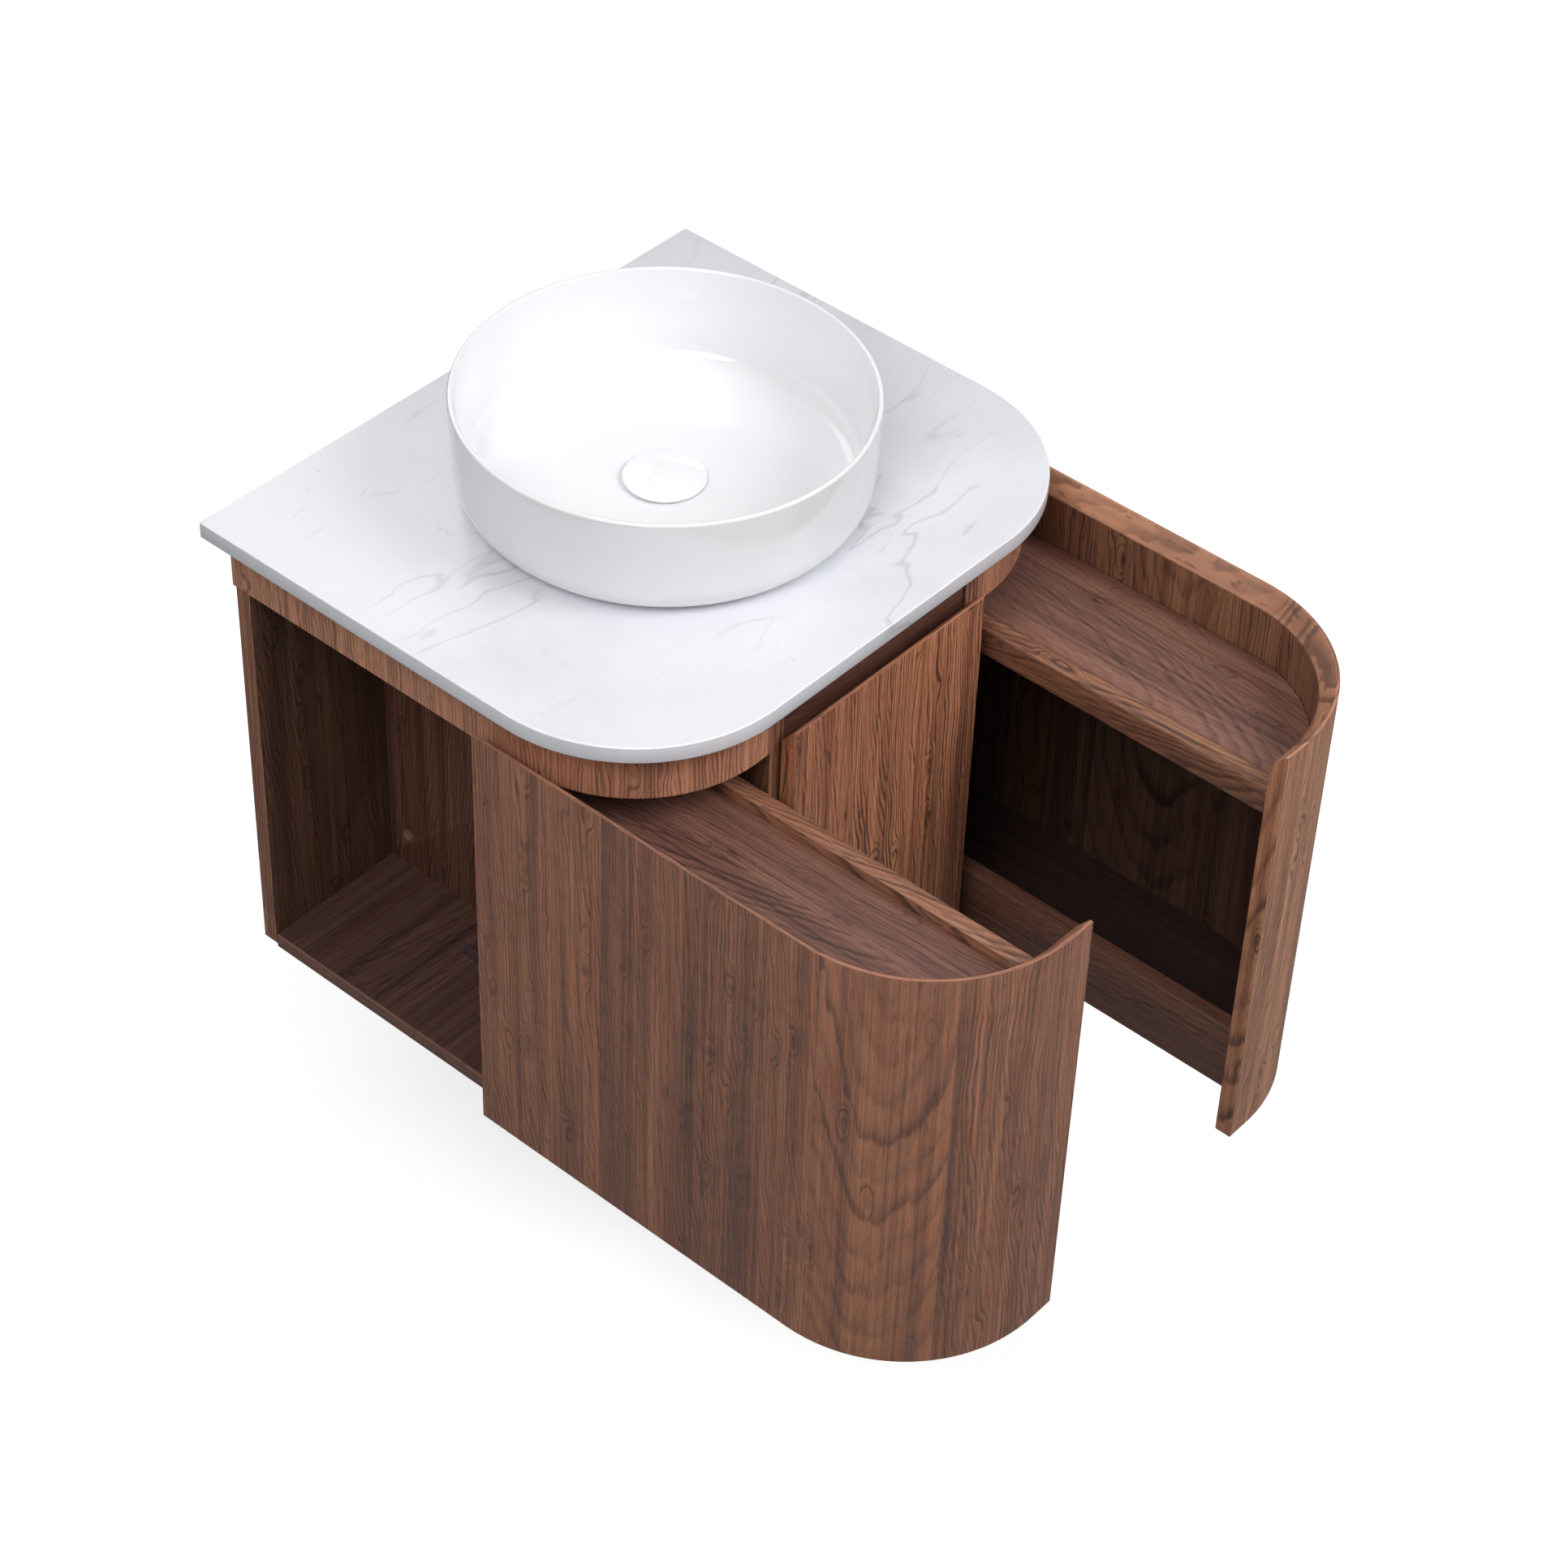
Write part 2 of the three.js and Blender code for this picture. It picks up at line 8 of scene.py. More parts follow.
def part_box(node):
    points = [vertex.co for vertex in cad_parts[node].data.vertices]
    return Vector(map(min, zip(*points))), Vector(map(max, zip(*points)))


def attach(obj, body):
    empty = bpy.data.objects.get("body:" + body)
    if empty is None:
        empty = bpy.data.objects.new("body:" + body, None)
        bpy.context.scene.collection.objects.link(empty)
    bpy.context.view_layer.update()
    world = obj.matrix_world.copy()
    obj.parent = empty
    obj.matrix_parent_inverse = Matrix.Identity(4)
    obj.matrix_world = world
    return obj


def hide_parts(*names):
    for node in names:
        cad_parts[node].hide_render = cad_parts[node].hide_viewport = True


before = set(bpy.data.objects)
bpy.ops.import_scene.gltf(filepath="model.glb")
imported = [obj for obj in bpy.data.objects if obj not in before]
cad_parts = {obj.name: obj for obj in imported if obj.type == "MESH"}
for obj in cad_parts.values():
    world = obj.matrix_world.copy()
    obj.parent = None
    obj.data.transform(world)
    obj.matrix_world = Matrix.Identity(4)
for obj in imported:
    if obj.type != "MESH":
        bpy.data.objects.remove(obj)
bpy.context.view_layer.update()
print("frame loaded:", len(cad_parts), "nodes")

scene = bpy.context.scene
sides = {"left": -1, "right": 1}


def addNode(tree, kind, **settings):
    node = tree.nodes.new(kind)
    for name, value in settings.items():
        setattr(node, name, value)
    return node


def feed(tree, socket, value):
    # a socket is linked, anything else is set on the input itself
    if isinstance(value, bpy.types.NodeSocket):
        tree.links.new(value, socket)
    else:
        socket.default_value = value


def calc(tree, operation, first, second=0.0, third=None):
    node = addNode(tree, "ShaderNodeMath", operation=operation)
    feed(tree, node.inputs[0], first)
    feed(tree, node.inputs[1], second)
    if third is not None:
        feed(tree, node.inputs[2], third)
    return node.outputs[0]


def plus(tree, first, second):
    return calc(tree, "ADD", first, second)


def minus(tree, first, second):
    return calc(tree, "SUBTRACT", first, second)


def times(tree, first, second):
    return calc(tree, "MULTIPLY", first, second)


def awayFrom(tree, value, level):
    return calc(tree, "ABSOLUTE", minus(tree, value, level))


def remap(tree, value, low, high, toLow=0.0, toHigh=1.0, smooth=False):
    node = addNode(tree, "ShaderNodeMapRange", clamp=True)
    node.interpolation_type = "SMOOTHSTEP" if smooth else "LINEAR"
    feed(tree, node.inputs["Value"], value)
    limits = {"From Min": low, "From Max": high, "To Min": toLow, "To Max": toHigh}
    for name, number in limits.items():
        feed(tree, node.inputs[name], number)
    return node.outputs["Result"]


def combine(tree, x, y, z):
    node = addNode(tree, "ShaderNodeCombineXYZ")
    for socket, value in zip(node.inputs, (x, y, z)):
        feed(tree, socket, value)
    return node.outputs[0]


def separate(tree, vector):
    node = addNode(tree, "ShaderNodeSeparateXYZ")
    feed(tree, node.inputs[0], vector)
    return node.outputs


def noise(tree, vector, scale=1.0, detail=2.0, roughness=0.5):
    node = addNode(tree, "ShaderNodeTexNoise")
    feed(tree, node.inputs["Vector"], vector)
    feed(tree, node.inputs["Scale"], scale)
    feed(tree, node.inputs["Detail"], detail)
    feed(tree, node.inputs["Roughness"], roughness)
    return node.outputs["Fac"]


def scaled(tree, vector, by):
    node = addNode(tree, "ShaderNodeVectorMath", operation="MULTIPLY")
    feed(tree, node.inputs[0], vector)
    node.inputs[1].default_value = by
    return node.outputs[0]


def mixColor(tree, factor, first, second):
    node = addNode(tree, "ShaderNodeMix", data_type="RGBA")
    feed(tree, node.inputs["Factor"], factor)
    feed(tree, node.inputs[6], first)
    feed(tree, node.inputs[7], second)
    return node.outputs[2]


def colorRamp(tree, value, stops):
    node = addNode(tree, "ShaderNodeValToRGB")
    ramp = node.color_ramp
    ramp.elements[0].position, ramp.elements[0].color = stops[0]
    ramp.elements[1].position, ramp.elements[1].color = stops[-1]
    for position, color in stops[1:-1]:
        ramp.elements.new(position).color = color
    feed(tree, node.inputs[0], value)
    return node.outputs[0]


def rgb(red, green, blue):
    # an 8-bit screen colour as the linear colour that shaders use
    def linear(channel):
        c = channel / 255
        return c / 12.92 if c <= 0.04045 else ((c + 0.055) / 1.055) ** 2.4

    return (linear(red), linear(green), linear(blue), 1.0)


def newGroup(name, inputs, outputs):
    group = bpy.data.node_groups.new(name, "ShaderNodeTree")
    for socketName, kind, value in inputs:
        kind = "NodeSocket" + kind
        socket = group.interface.new_socket(socketName, in_out="INPUT", socket_type=kind)
        if value is not None:
            socket.default_value = value
    for socketName, kind in outputs:
        kind = "NodeSocket" + kind
        group.interface.new_socket(socketName, in_out="OUTPUT", socket_type=kind)
    return group, addNode(group, "NodeGroupInput").outputs, addNode(group, "NodeGroupOutput").inputs


def useGroup(tree, group, **values):
    node = addNode(tree, "ShaderNodeGroup", node_tree=group)
    for name, value in values.items():
        feed(tree, node.inputs[name], value)
    return node.outputs


def attribute(tree, name):
    return addNode(tree, "ShaderNodeAttribute", attribute_name=name).outputs


def newMaterial(name, **shaderValues):
    material = bpy.data.materials.new(name)
    material.use_nodes = True
    tree = material.node_tree
    shader = tree.nodes["Principled BSDF"]
    for socketName, value in shaderValues.items():
        shader.inputs[socketName].default_value = value
    return material, tree, shader


def addBump(tree, shader, height, strength, distance):
    bump = addNode(tree, "ShaderNodeBump")
    bump.inputs["Strength"].default_value = strength
    bump.inputs["Distance"].default_value = distance
    feed(tree, bump.inputs["Height"], height)
    feed(tree, shader.inputs["Normal"], bump.outputs["Normal"])


def makeWalnutGroup():
    # Sliced veneer. The vector is metres across the grain, metres along it, and a number for the
    # sheet. Each leaf is cut at its own distance from the heart of the log: far from it the rings
    # run straight, close to it they close into arches.
    group, given, result = newGroup(
        "walnutVeneer",
        [
            ("Vector", "Vector", None),
            ("Leaf Width", "Float", 0.12),
            ("Ring Gap", "Float", 0.0036),
            ("Arch Slope", "Float", 0.17),
            ("Arches", "Float", 0.1),
            ("Arch Leaf", "Float", -1.0),
            ("Figure", "Float", 1.0),
            ("Fibre", "Float", 1.0),
            ("Light", "Color", rgb(168, 120, 94)),
            ("Middle", "Color", rgb(128, 88, 70)),
            ("Dark", "Color", rgb(84, 60, 55)),
        ],
        [("Color", "Color"), ("Roughness", "Float"), ("Height", "Float")],
    )
    across, along, sheet = separate(group, given["Vector"])
    leafPlace = calc(group, "DIVIDE", across, given["Leaf Width"])
    leafPlace = plus(group, leafPlace, times(group, sheet, 0.37))
    leaf = calc(group, "FLOOR", leafPlace)
    local = minus(group, calc(group, "FRACT", leafPlace), 0.5)
    toJoint = minus(group, 0.5, calc(group, "ABSOLUTE", local))
    toJoint = times(group, toJoint, given["Leaf Width"])
    local = times(group, local, given["Leaf Width"])
    dice = addNode(group, "ShaderNodeTexWhiteNoise", noise_dimensions="2D")
    feed(group, dice.inputs["Vector"], combine(group, leaf, sheet, 0.0))
    diceParts = addNode(group, "ShaderNodeSeparateColor")
    feed(group, diceParts.inputs[0], dice.outputs["Color"])
    first, second, third = diceParts.outputs[:3]
    leafSeed = plus(group, times(group, leaf, 3.17), sheet)

    def stretched(acrossScale, alongScale, detail, roughness=0.5, extra=0.0):
        x = times(group, local, acrossScale)
        y = times(group, along, alongScale)
        z = plus(group, leafSeed, extra)
        return noise(group, combine(group, x, y, z), 1.0, detail, roughness)

    # small knots, here and there, that push the rings aside
    knots = addNode(group, "ShaderNodeTexVoronoi", feature="F1", voronoi_dimensions="3D")
    knotPlace = combine(group, times(group, across, 9.0), times(group, along, 3.1), sheet)
    feed(group, knots.inputs["Vector"], knotPlace)
    knotDice = addNode(group, "ShaderNodeSeparateColor")
    feed(group, knotDice.inputs[0], knots.outputs["Color"])
    knotThere = calc(group, "GREATER_THAN", knotDice.outputs[0], 0.62)
    knotPush = remap(group, knots.outputs["Distance"], 0.05, 0.5, 1.0, 0.0, smooth=True)
    knotPush = times(group, knotPush, knotThere)
    knotHeart = remap(group, knots.outputs["Distance"], 0.02, 0.13, 1.0, 0.0, smooth=True)
    knotHeart = times(group, knotHeart, knotThere)

    # distance from the heart, with a slow wander and a finer wobble
    chosen = calc(group, "COMPARE", leaf, given["Arch Leaf"], 0.1)
    near = calc(group, "MAXIMUM", calc(group, "LESS_THAN", second, given["Arches"]), chosen)
    reach = calc(group, "MULTIPLY_ADD", near, -0.145, 0.13)
    heart = calc(group, "MULTIPLY_ADD", first, 0.05, reach)
    wander = times(group, minus(group, stretched(9, 2.4, 2), 0.5), 0.045)
    wobble = times(group, minus(group, stretched(46, 11, 3, extra=5.0), 0.5), 0.016)
    fromHeart = plus(group, plus(group, minus(group, local, heart), wander), wobble)
    start = calc(group, "MULTIPLY_ADD", third, -0.2, -0.14)
    depth = times(group, plus(group, along, start), given["Arch Slope"])
    depth = plus(group, calc(group, "ABSOLUTE", depth), 0.002)
    squares = plus(group, times(group, fromHeart, fromHeart), times(group, depth, depth))
    gap = times(group, given["Ring Gap"], calc(group, "MULTIPLY_ADD", near, 1.3, 1.0))
    rings = calc(group, "DIVIDE", calc(group, "SQRT", squares), gap)
    rings = plus(group, rings, times(group, stretched(30, 3.2, 3, extra=11.0), 1.8))
    rings = plus(group, rings, times(group, knotPush, 2.6))
    ring = calc(group, "FLOOR", rings)
    inRing = calc(group, "FRACT", rings)
    ringDice = addNode(group, "ShaderNodeTexWhiteNoise", noise_dimensions="2D")
    feed(group, ringDice.inputs["Vector"], combine(group, ring, leafSeed, 0.0))
    lateRise = remap(group, inRing, 0.2, 0.84, smooth=True)
    lateFall = remap(group, inRing, 0.86, 1.0, 1.0, 0.0, smooth=True)
    crisp = calc(group, "POWER", lateRise, calc(group, "MULTIPLY_ADD", near, 1.6, 1.3))
    lateWood = times(group, crisp, lateFall)
    lateWood = times(group, lateWood, remap(group, ringDice.outputs["Value"], 0.0, 1.0, 0.2, 1.0))
    lateWood = times(group, lateWood, calc(group, "MULTIPLY_ADD", near, -0.12, given["Figure"]))

    # streaks, fibres and pores that run with the grain
    bandNoise = stretched(42, 1.2, 4, 0.6, 21.0)
    streakNoise = stretched(230, 2.2, 3, 0.7, 31.0)
    fibreNoise = stretched(900, 9, 2, 0.6, 41.0)
    poreNoise = stretched(1500, 60, 1, 0.5, 51.0)
    streak = times(group, minus(group, streakNoise, 0.5), given["Fibre"])
    fibre = times(group, minus(group, fibreNoise, 0.5), given["Fibre"])
    pore = remap(group, poreNoise, 0.6, 0.7)

    tone = calc(group, "MULTIPLY_ADD", minus(group, bandNoise, 0.5), 1.25, 0.63)
    tone = calc(group, "MULTIPLY_ADD", minus(group, third, 0.5), 0.16, tone)
    tone = calc(group, "MULTIPLY_ADD", lateWood, -0.82, tone)
    tone = calc(group, "MULTIPLY_ADD", streak, 1.5, tone)
    tone = calc(group, "MULTIPLY_ADD", fibre, 0.6, tone)
    tone = calc(group, "MULTIPLY_ADD", knotPush, -0.16, tone)
    darkHalf = mixColor(group, remap(group, tone, 0.0, 0.5), given["Dark"], given["Middle"])
    color = mixColor(group, remap(group, tone, 0.5, 1.0), darkHalf, given["Light"])

    # redder and cooler streaks, knots, pores and the joints between leaves
    red = remap(group, stretched(70, 1.4, 3, 0.6, 71.0), 0.5, 0.72, 0.0, 0.5, smooth=True)
    color = mixColor(group, red, color, mixColor(group, 0.5, given["Dark"], rgb(142, 74, 52)))
    mineral = remap(group, stretched(30, 1.0, 3, 0.6, 61.0), 0.54, 0.7, 0.0, 0.34, smooth=True)
    mineral = times(group, mineral, remap(group, streakNoise, 0.35, 0.6, 1.0, 0.35))
    color = mixColor(group, mineral, color, mixColor(group, 0.5, given["Dark"], rgb(92, 72, 70)))
    color = mixColor(group, times(group, knotHeart, 0.75), color, rgb(58, 38, 32))
    color = mixColor(group, times(group, pore, 0.55), color, rgb(50, 33, 28))
    joint = remap(group, toJoint, 0.0002, 0.0007, 0.45, 0.0)
    color = mixColor(group, joint, color, rgb(56, 38, 33))
    feed(group, result["Color"], color)
    rough = calc(group, "MULTIPLY_ADD", fibreNoise, 0.12, 0.44)
    feed(group, result["Roughness"], calc(group, "MULTIPLY_ADD", pore, 0.15, rough))
    height = minus(group, times(group, fibreNoise, 0.5), times(group, pore, 0.8))
    feed(group, result["Height"], height)
    return group


def makeEdgeHighlightGroup():
    # painted highlight on eased edges, where light catches their rounding, broken up so that it
    # isn't a drawn line
    group, given, result = newGroup(
        "paintedEdgeHighlight",
        [
            ("Color", "Color", None),
            ("Edge", "Float", 0.0),
            ("Amount", "Float", 0.35),
            ("Tint", "Color", rgb(190, 150, 130)),
        ],
        [("Color", "Color")],
    )
    place = addNode(group, "ShaderNodeTexCoord").outputs["Object"]
    broken = remap(group, noise(group, place, 60, 3), 0.3, 0.65, 0.55, 1.0)
    highlit = times(group, times(group, given["Edge"], given["Amount"]), broken)
    feed(group, result["Color"], mixColor(group, highlit, given["Color"], given["Tint"]))
    return group


def makeDustGroup():
    # a faint uneven film that keeps smooth surfaces from being perfectly even
    group, given, result = newGroup(
        "handledFilm",
        [("Roughness", "Float", 0.3), ("Spread", "Float", 0.06), ("Scale", "Float", 30.0)],
        [("Roughness", "Float")],
    )
    place = addNode(group, "ShaderNodeTexCoord").outputs["Object"]
    film = minus(group, noise(group, place, given["Scale"], 4, 0.6), 0.5)
    rough = calc(group, "MULTIPLY_ADD", film, given["Spread"], given["Roughness"])
    feed(group, result["Roughness"], rough)
    return group


walnutVeneer = makeWalnutGroup()
paintedEdgeHighlight = makeEdgeHighlightGroup()
handledFilm = makeDustGroup()
print("shader groups built")


# painted shade: inside faces are darkened towards near-black, standing in for the shadow in the bay
# and the pull-outs
paintedShadeLook = {"most": 0.78, "color": (0.006, 0.004, 0.004, 1)}


def makeWalnut(name, light, middle, dark, highlightAmount=0.2, **values):
    material, tree, shader = newMaterial(name, **{"Coat Weight": 0.12, "Coat Roughness": 0.35})
    grain = attribute(tree, "grain")["Vector"]
    tones = {"Light": light, "Middle": middle, "Dark": dark}
    veneer = useGroup(tree, walnutVeneer, Vector=grain, **tones, **values)
    edge = attribute(tree, "arris")["Fac"]
    # painted highlight along the eased edges
    highlit = useGroup(tree, paintedEdgeHighlight, Color=veneer["Color"], Edge=edge, Amount=highlightAmount)
    # painted shade on the inside faces
    paintedShade = times(tree, attribute(tree, "paintedShade")["Fac"], paintedShadeLook["most"])
    color = mixColor(tree, paintedShade, highlit["Color"], paintedShadeLook["color"])
    feed(tree, shader.inputs["Base Color"], color)
    feed(tree, shader.inputs["Roughness"], veneer["Roughness"])
    addBump(tree, shader, veneer["Height"], 0.25, 0.0004)
    return material


marbleLook = {
    "ground": rgb(230, 231, 236),
    "cloud": rgb(208, 210, 217),
    "vein": rgb(128, 130, 137),
    "fineVein": rgb(146, 147, 153),
    "fleck": rgb(190, 191, 198),
    "veinStrength": 0.26,
    "fineVeinStrength": 0.25,
    "veinTurn": 50,
    "veinStretch": (2.0, 9.0, 4.0),
    "bend": 0.07,
}


def makeStoneMaterial():
    look = marbleLook
    coat = {"Coat Weight": 0.25, "Coat Roughness": 0.12}
    material, tree, shader = newMaterial("honedMarble", **coat)
    place = addNode(tree, "ShaderNodeTexCoord").outputs["Object"]
    bend = addNode(tree, "ShaderNodeTexNoise")
    feed(tree, bend.inputs["Vector"], place)
    bend.inputs["Scale"].default_value = 5.5
    bend.inputs["Detail"].default_value = 5
    shift = addNode(tree, "ShaderNodeVectorMath", operation="MULTIPLY_ADD")
    feed(tree, shift.inputs[0], bend.outputs["Color"])
    shift.inputs[1].default_value = (look["bend"],) * 3
    feed(tree, shift.inputs[2], place)
    bent = shift.outputs[0]
    turned = addNode(tree, "ShaderNodeMapping")
    turned.inputs["Rotation"].default_value = (0, 0, math.radians(look["veinTurn"]))
    turned.inputs["Scale"].default_value = look["veinStretch"]
    feed(tree, turned.inputs["Vector"], bent)
    lines = noise(tree, turned.outputs[0], 1.5, 3, 0.5)
    vein = remap(tree, awayFrom(tree, lines, 0.5), 0.0, 0.014, 1.0, 0.0, smooth=True)
    where = remap(tree, noise(tree, place, 6.4, 3, 0.6), 0.46, 0.62, smooth=True)
    vein = times(tree, vein, where)
    fine = noise(tree, turned.outputs[0], 4.0, 3, 0.5)
    fineVein = remap(tree, awayFrom(tree, fine, 0.47), 0.0, 0.006, 1.0, 0.0)
    fineWhere = remap(tree, noise(tree, scaled(tree, place, (9, 9, 9)), 1.0, 2), 0.5, 0.64)
    fineVein = times(tree, fineVein, fineWhere)
    cloud = remap(tree, noise(tree, bent, 4.2, 5, 0.6), 0.44, 0.68, 0.0, 0.5, smooth=True)
    flecks = remap(tree, noise(tree, place, 420, 2), 0.70, 0.78, 0.0, 0.3)
    color = mixColor(tree, cloud, look["ground"], look["cloud"])
    color = mixColor(tree, times(tree, vein, look["veinStrength"]), color, look["vein"])
    color = mixColor(tree, times(tree, fineVein, look["fineVeinStrength"]), color, look["fineVein"])
    color = mixColor(tree, flecks, color, look["fleck"])
    # painted highlight, near white, along the slab's eased edges
    edge = attribute(tree, "arris")["Fac"]
    highlit = useGroup(tree, paintedEdgeHighlight, Color=color, Edge=edge, Amount=0.8, Tint=rgb(255, 255, 255))
    feed(tree, shader.inputs["Base Color"], highlit["Color"])
    film = useGroup(tree, handledFilm, Roughness=0.3, Spread=0.1, Scale=18.0)
    feed(tree, shader.inputs["Roughness"], film["Roughness"])
    return material


def makeCeramicMaterial():
    coat = {"Coat Weight": 0.5, "Coat Roughness": 0.05}
    material, tree, shader = newMaterial("whiteGlaze", **coat)
    place = addNode(tree, "ShaderNodeTexCoord").outputs["Object"]
    pooled = remap(tree, noise(tree, place, 9, 3), 0.35, 0.7)
    color = mixColor(tree, pooled, rgb(243, 243, 245), rgb(240, 241, 243))
    specks = remap(tree, noise(tree, place, 900, 1), 0.78, 0.82, 0.0, 0.25)
    color = mixColor(tree, specks, color, rgb(214, 212, 206))
    feed(tree, shader.inputs["Base Color"], color)
    film = useGroup(tree, handledFilm, Roughness=0.14, Spread=0.06, Scale=14.0)
    feed(tree, shader.inputs["Roughness"], film["Roughness"])
    addBump(tree, shader, noise(tree, place, 26, 2), 0.08, 0.0006)
    return material


def makeMetal(name, color, darker, rough, spread, stretch, brushed):
    material, tree, shader = newMaterial(name, **{"Metallic": 1.0})
    place = addNode(tree, "ShaderNodeTexCoord").outputs["Object"]
    lines = noise(tree, scaled(tree, place, stretch), 1.0, 3, 0.6)
    blotch = noise(tree, place, 22, 4, 0.6)
    mixed = plus(tree, times(tree, lines, 0.6), times(tree, blotch, 0.4))
    base = mixColor(tree, remap(tree, mixed, 0.35, 0.65), darker, color)
    # painted highlight along the eased edges of the metal
    edge = attribute(tree, "arris")["Fac"]
    highlit = useGroup(tree, paintedEdgeHighlight, Color=base, Edge=edge, Amount=0.5, Tint=rgb(235, 236, 238))
    feed(tree, shader.inputs["Base Color"], highlit["Color"])
    film = useGroup(tree, handledFilm, Roughness=rough, Spread=spread, Scale=40.0)
    feed(tree, shader.inputs["Roughness"], film["Roughness"])
    addBump(tree, shader, lines, brushed, 0.0003)
    return material


plyLook = {
    "face": [(0.3, rgb(176, 136, 92)), (0.5, rgb(206, 170, 124)), (0.7, rgb(224, 194, 152))],
    "glueLine": rgb(118, 82, 52),
    "layer": 0.0031,
}


def makePlywood():
    material, tree, shader = newMaterial("birchPly")
    across, along, thick = separate(tree, attribute(tree, "ply")["Vector"])
    fibrePlace = combine(tree, times(tree, across, 260), times(tree, along, 9), thick)
    fibres = noise(tree, fibrePlace, 1, 4)
    ringPlace = combine(tree, times(tree, across, 34), times(tree, along, 2.4), thick)
    rings = noise(tree, ringPlace, 1, 3)
    tone = plus(tree, times(tree, fibres, 0.45), times(tree, rings, 0.55))
    face = colorRamp(tree, tone, plyLook["face"])
    layers = calc(tree, "FRACT", calc(tree, "DIVIDE", thick, plyLook["layer"]))
    layerDark = remap(tree, awayFrom(tree, layers, 0.5), 0.12, 0.2)
    onEdge = attribute(tree, "sawn")["Fac"]
    glueLine = times(tree, times(tree, layerDark, onEdge), 0.6)
    color = mixColor(tree, glueLine, face, plyLook["glueLine"])
    feed(tree, shader.inputs["Base Color"], color)
    shader.inputs["Roughness"].default_value = 0.75
    addBump(tree, shader, fibres, 0.3, 0.0005)
    return material


def makeRubber(name, color, paler):
    material, tree, shader = newMaterial(name)
    place = addNode(tree, "ShaderNodeTexCoord").outputs["Object"]
    base = mixColor(tree, remap(tree, noise(tree, place, 160, 4), 0.4, 0.7), color, paler)
    feed(tree, shader.inputs["Base Color"], base)
    film = useGroup(tree, handledFilm, Roughness=0.7, Spread=0.2, Scale=90.0)
    feed(tree, shader.inputs["Roughness"], film["Roughness"])
    addBump(tree, shader, noise(tree, place, 700, 2), 0.3, 0.0003)
    return material


walnut = makeWalnut("walnutPanels", rgb(182, 129, 99), rgb(140, 94, 71), rgb(80, 53, 44))
# the left pull-out's walnut is darker and the door's and right pull-out's paler: partly different
# veneers, partly painted shade and painted light for how the light falls on each side
walnutLeft = makeWalnut("walnutLeft", rgb(192, 127, 90), rgb(147, 91, 66), rgb(63, 40, 34),
                        **{"Leaf Width": 0.113, "Arches": 0.0, "Arch Leaf": 4.0})
walnutDoor = makeWalnut("walnutDoor", rgb(218, 149, 109), rgb(172, 111, 80), rgb(86, 54, 43),
                        **{"Leaf Width": 0.24, "Arches": 0.0})
# painted light: the aprons' walnut is a paler copy, to offset the shade under the stone's overhang
paintedLightApronWalnut = makeWalnut("walnutAprons", rgb(236, 168, 128), rgb(198, 132, 99), rgb(106, 70, 57),
                         **{"Leaf Width": 0.24, "Arches": 0.0})
walnutPale = makeWalnut("walnutRight", rgb(220, 157, 118), rgb(174, 118, 86), rgb(92, 62, 51))
outerWalnut = {"left": walnutLeft, "right": walnutPale}
walnutShelf = makeWalnut("walnutShelves", rgb(152, 108, 92), rgb(121, 82, 70), rgb(74, 50, 44),
                         **{"Leaf Width": 0.2, "Arches": 0.0, "Figure": 0.6})
walnutBand = makeWalnut("walnutEdging", rgb(140, 96, 77), rgb(108, 71, 57), rgb(66, 43, 37),
                        **{"Leaf Width": 0.3, "Arches": 0.0, "Figure": 0.4})
darkBoard = makeWalnut("darkBoard", rgb(92, 66, 56), rgb(72, 50, 43), rgb(52, 36, 32),
                       **{"Figure": 0.4})
marble = makeStoneMaterial()
glaze = makeCeramicMaterial()
chrome = makeMetal("polishedChrome", rgb(225, 227, 230), rgb(205, 208, 212),
                   rough=0.09, spread=0.06, stretch=(60, 60, 60), brushed=0.02)
zincSteel = makeMetal("zincSteel", rgb(196, 199, 204), rgb(160, 164, 170),
                      rough=0.3, spread=0.12, stretch=(500, 12, 500), brushed=0.12)
plywood = makePlywood()
rubber = makeRubber("blackRubber", rgb(34, 34, 36), rgb(52, 52, 54))
print("materials built")


def finishMesh(piece, smoothAngle=32):
    mesh = piece.data
    mesh.polygons.foreach_set("use_smooth", [True] * len(mesh.polygons))
    corners = bmesh.new()
    corners.from_mesh(mesh)
    for edge in corners.edges:
        edge.smooth = edge.is_manifold and edge.calc_face_angle(0) < math.radians(smoothAngle)
    corners.to_mesh(mesh)
    corners.free()


def newPiece(name, shape, material, body, slot, *nodes):
    mesh = bpy.data.meshes.new(name)
    shape.normal_update()
    shape.to_mesh(mesh)
    shape.free()
    piece = bpy.data.objects.new(name, mesh)
    scene.collection.objects.link(piece)
    mesh.materials.append(material)
    finishMesh(piece)
    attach(piece, body)
    if nodes:
        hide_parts(*nodes)
    return piece


def roundEdges(shape, width, angle=28, segments=3):
    # the strips that this makes are marked, for the painted edge highlight
    mark = shape.faces.layers.float.get("arris") or shape.faces.layers.float.new("arris")
    sharp = [e for e in shape.edges if e.is_manifold and e.calc_face_angle(0) > math.radians(angle)]
    made = bmesh.ops.bevel(shape, geom=sharp, offset=width, offset_type="OFFSET", segments=segments,
                           profile=0.5, affect="EDGES", clamp_overlap=True)
    for face in made["faces"]:
        face[mark] = 1.0
    return shape


def fromNode(node, width=0.0006, segments=2):
    # the frame's solid with its flat faces whole again and its edges eased
    shape = bmesh.new()
    shape.from_mesh(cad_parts[node].data)
    bmesh.ops.remove_doubles(shape, verts=shape.verts, dist=1e-6)
    flat = math.radians(1)
    bmesh.ops.dissolve_limit(shape, angle_limit=flat, verts=shape.verts, edges=shape.edges)
    if width:
        roundEdges(shape, width, segments=segments)
    return shape


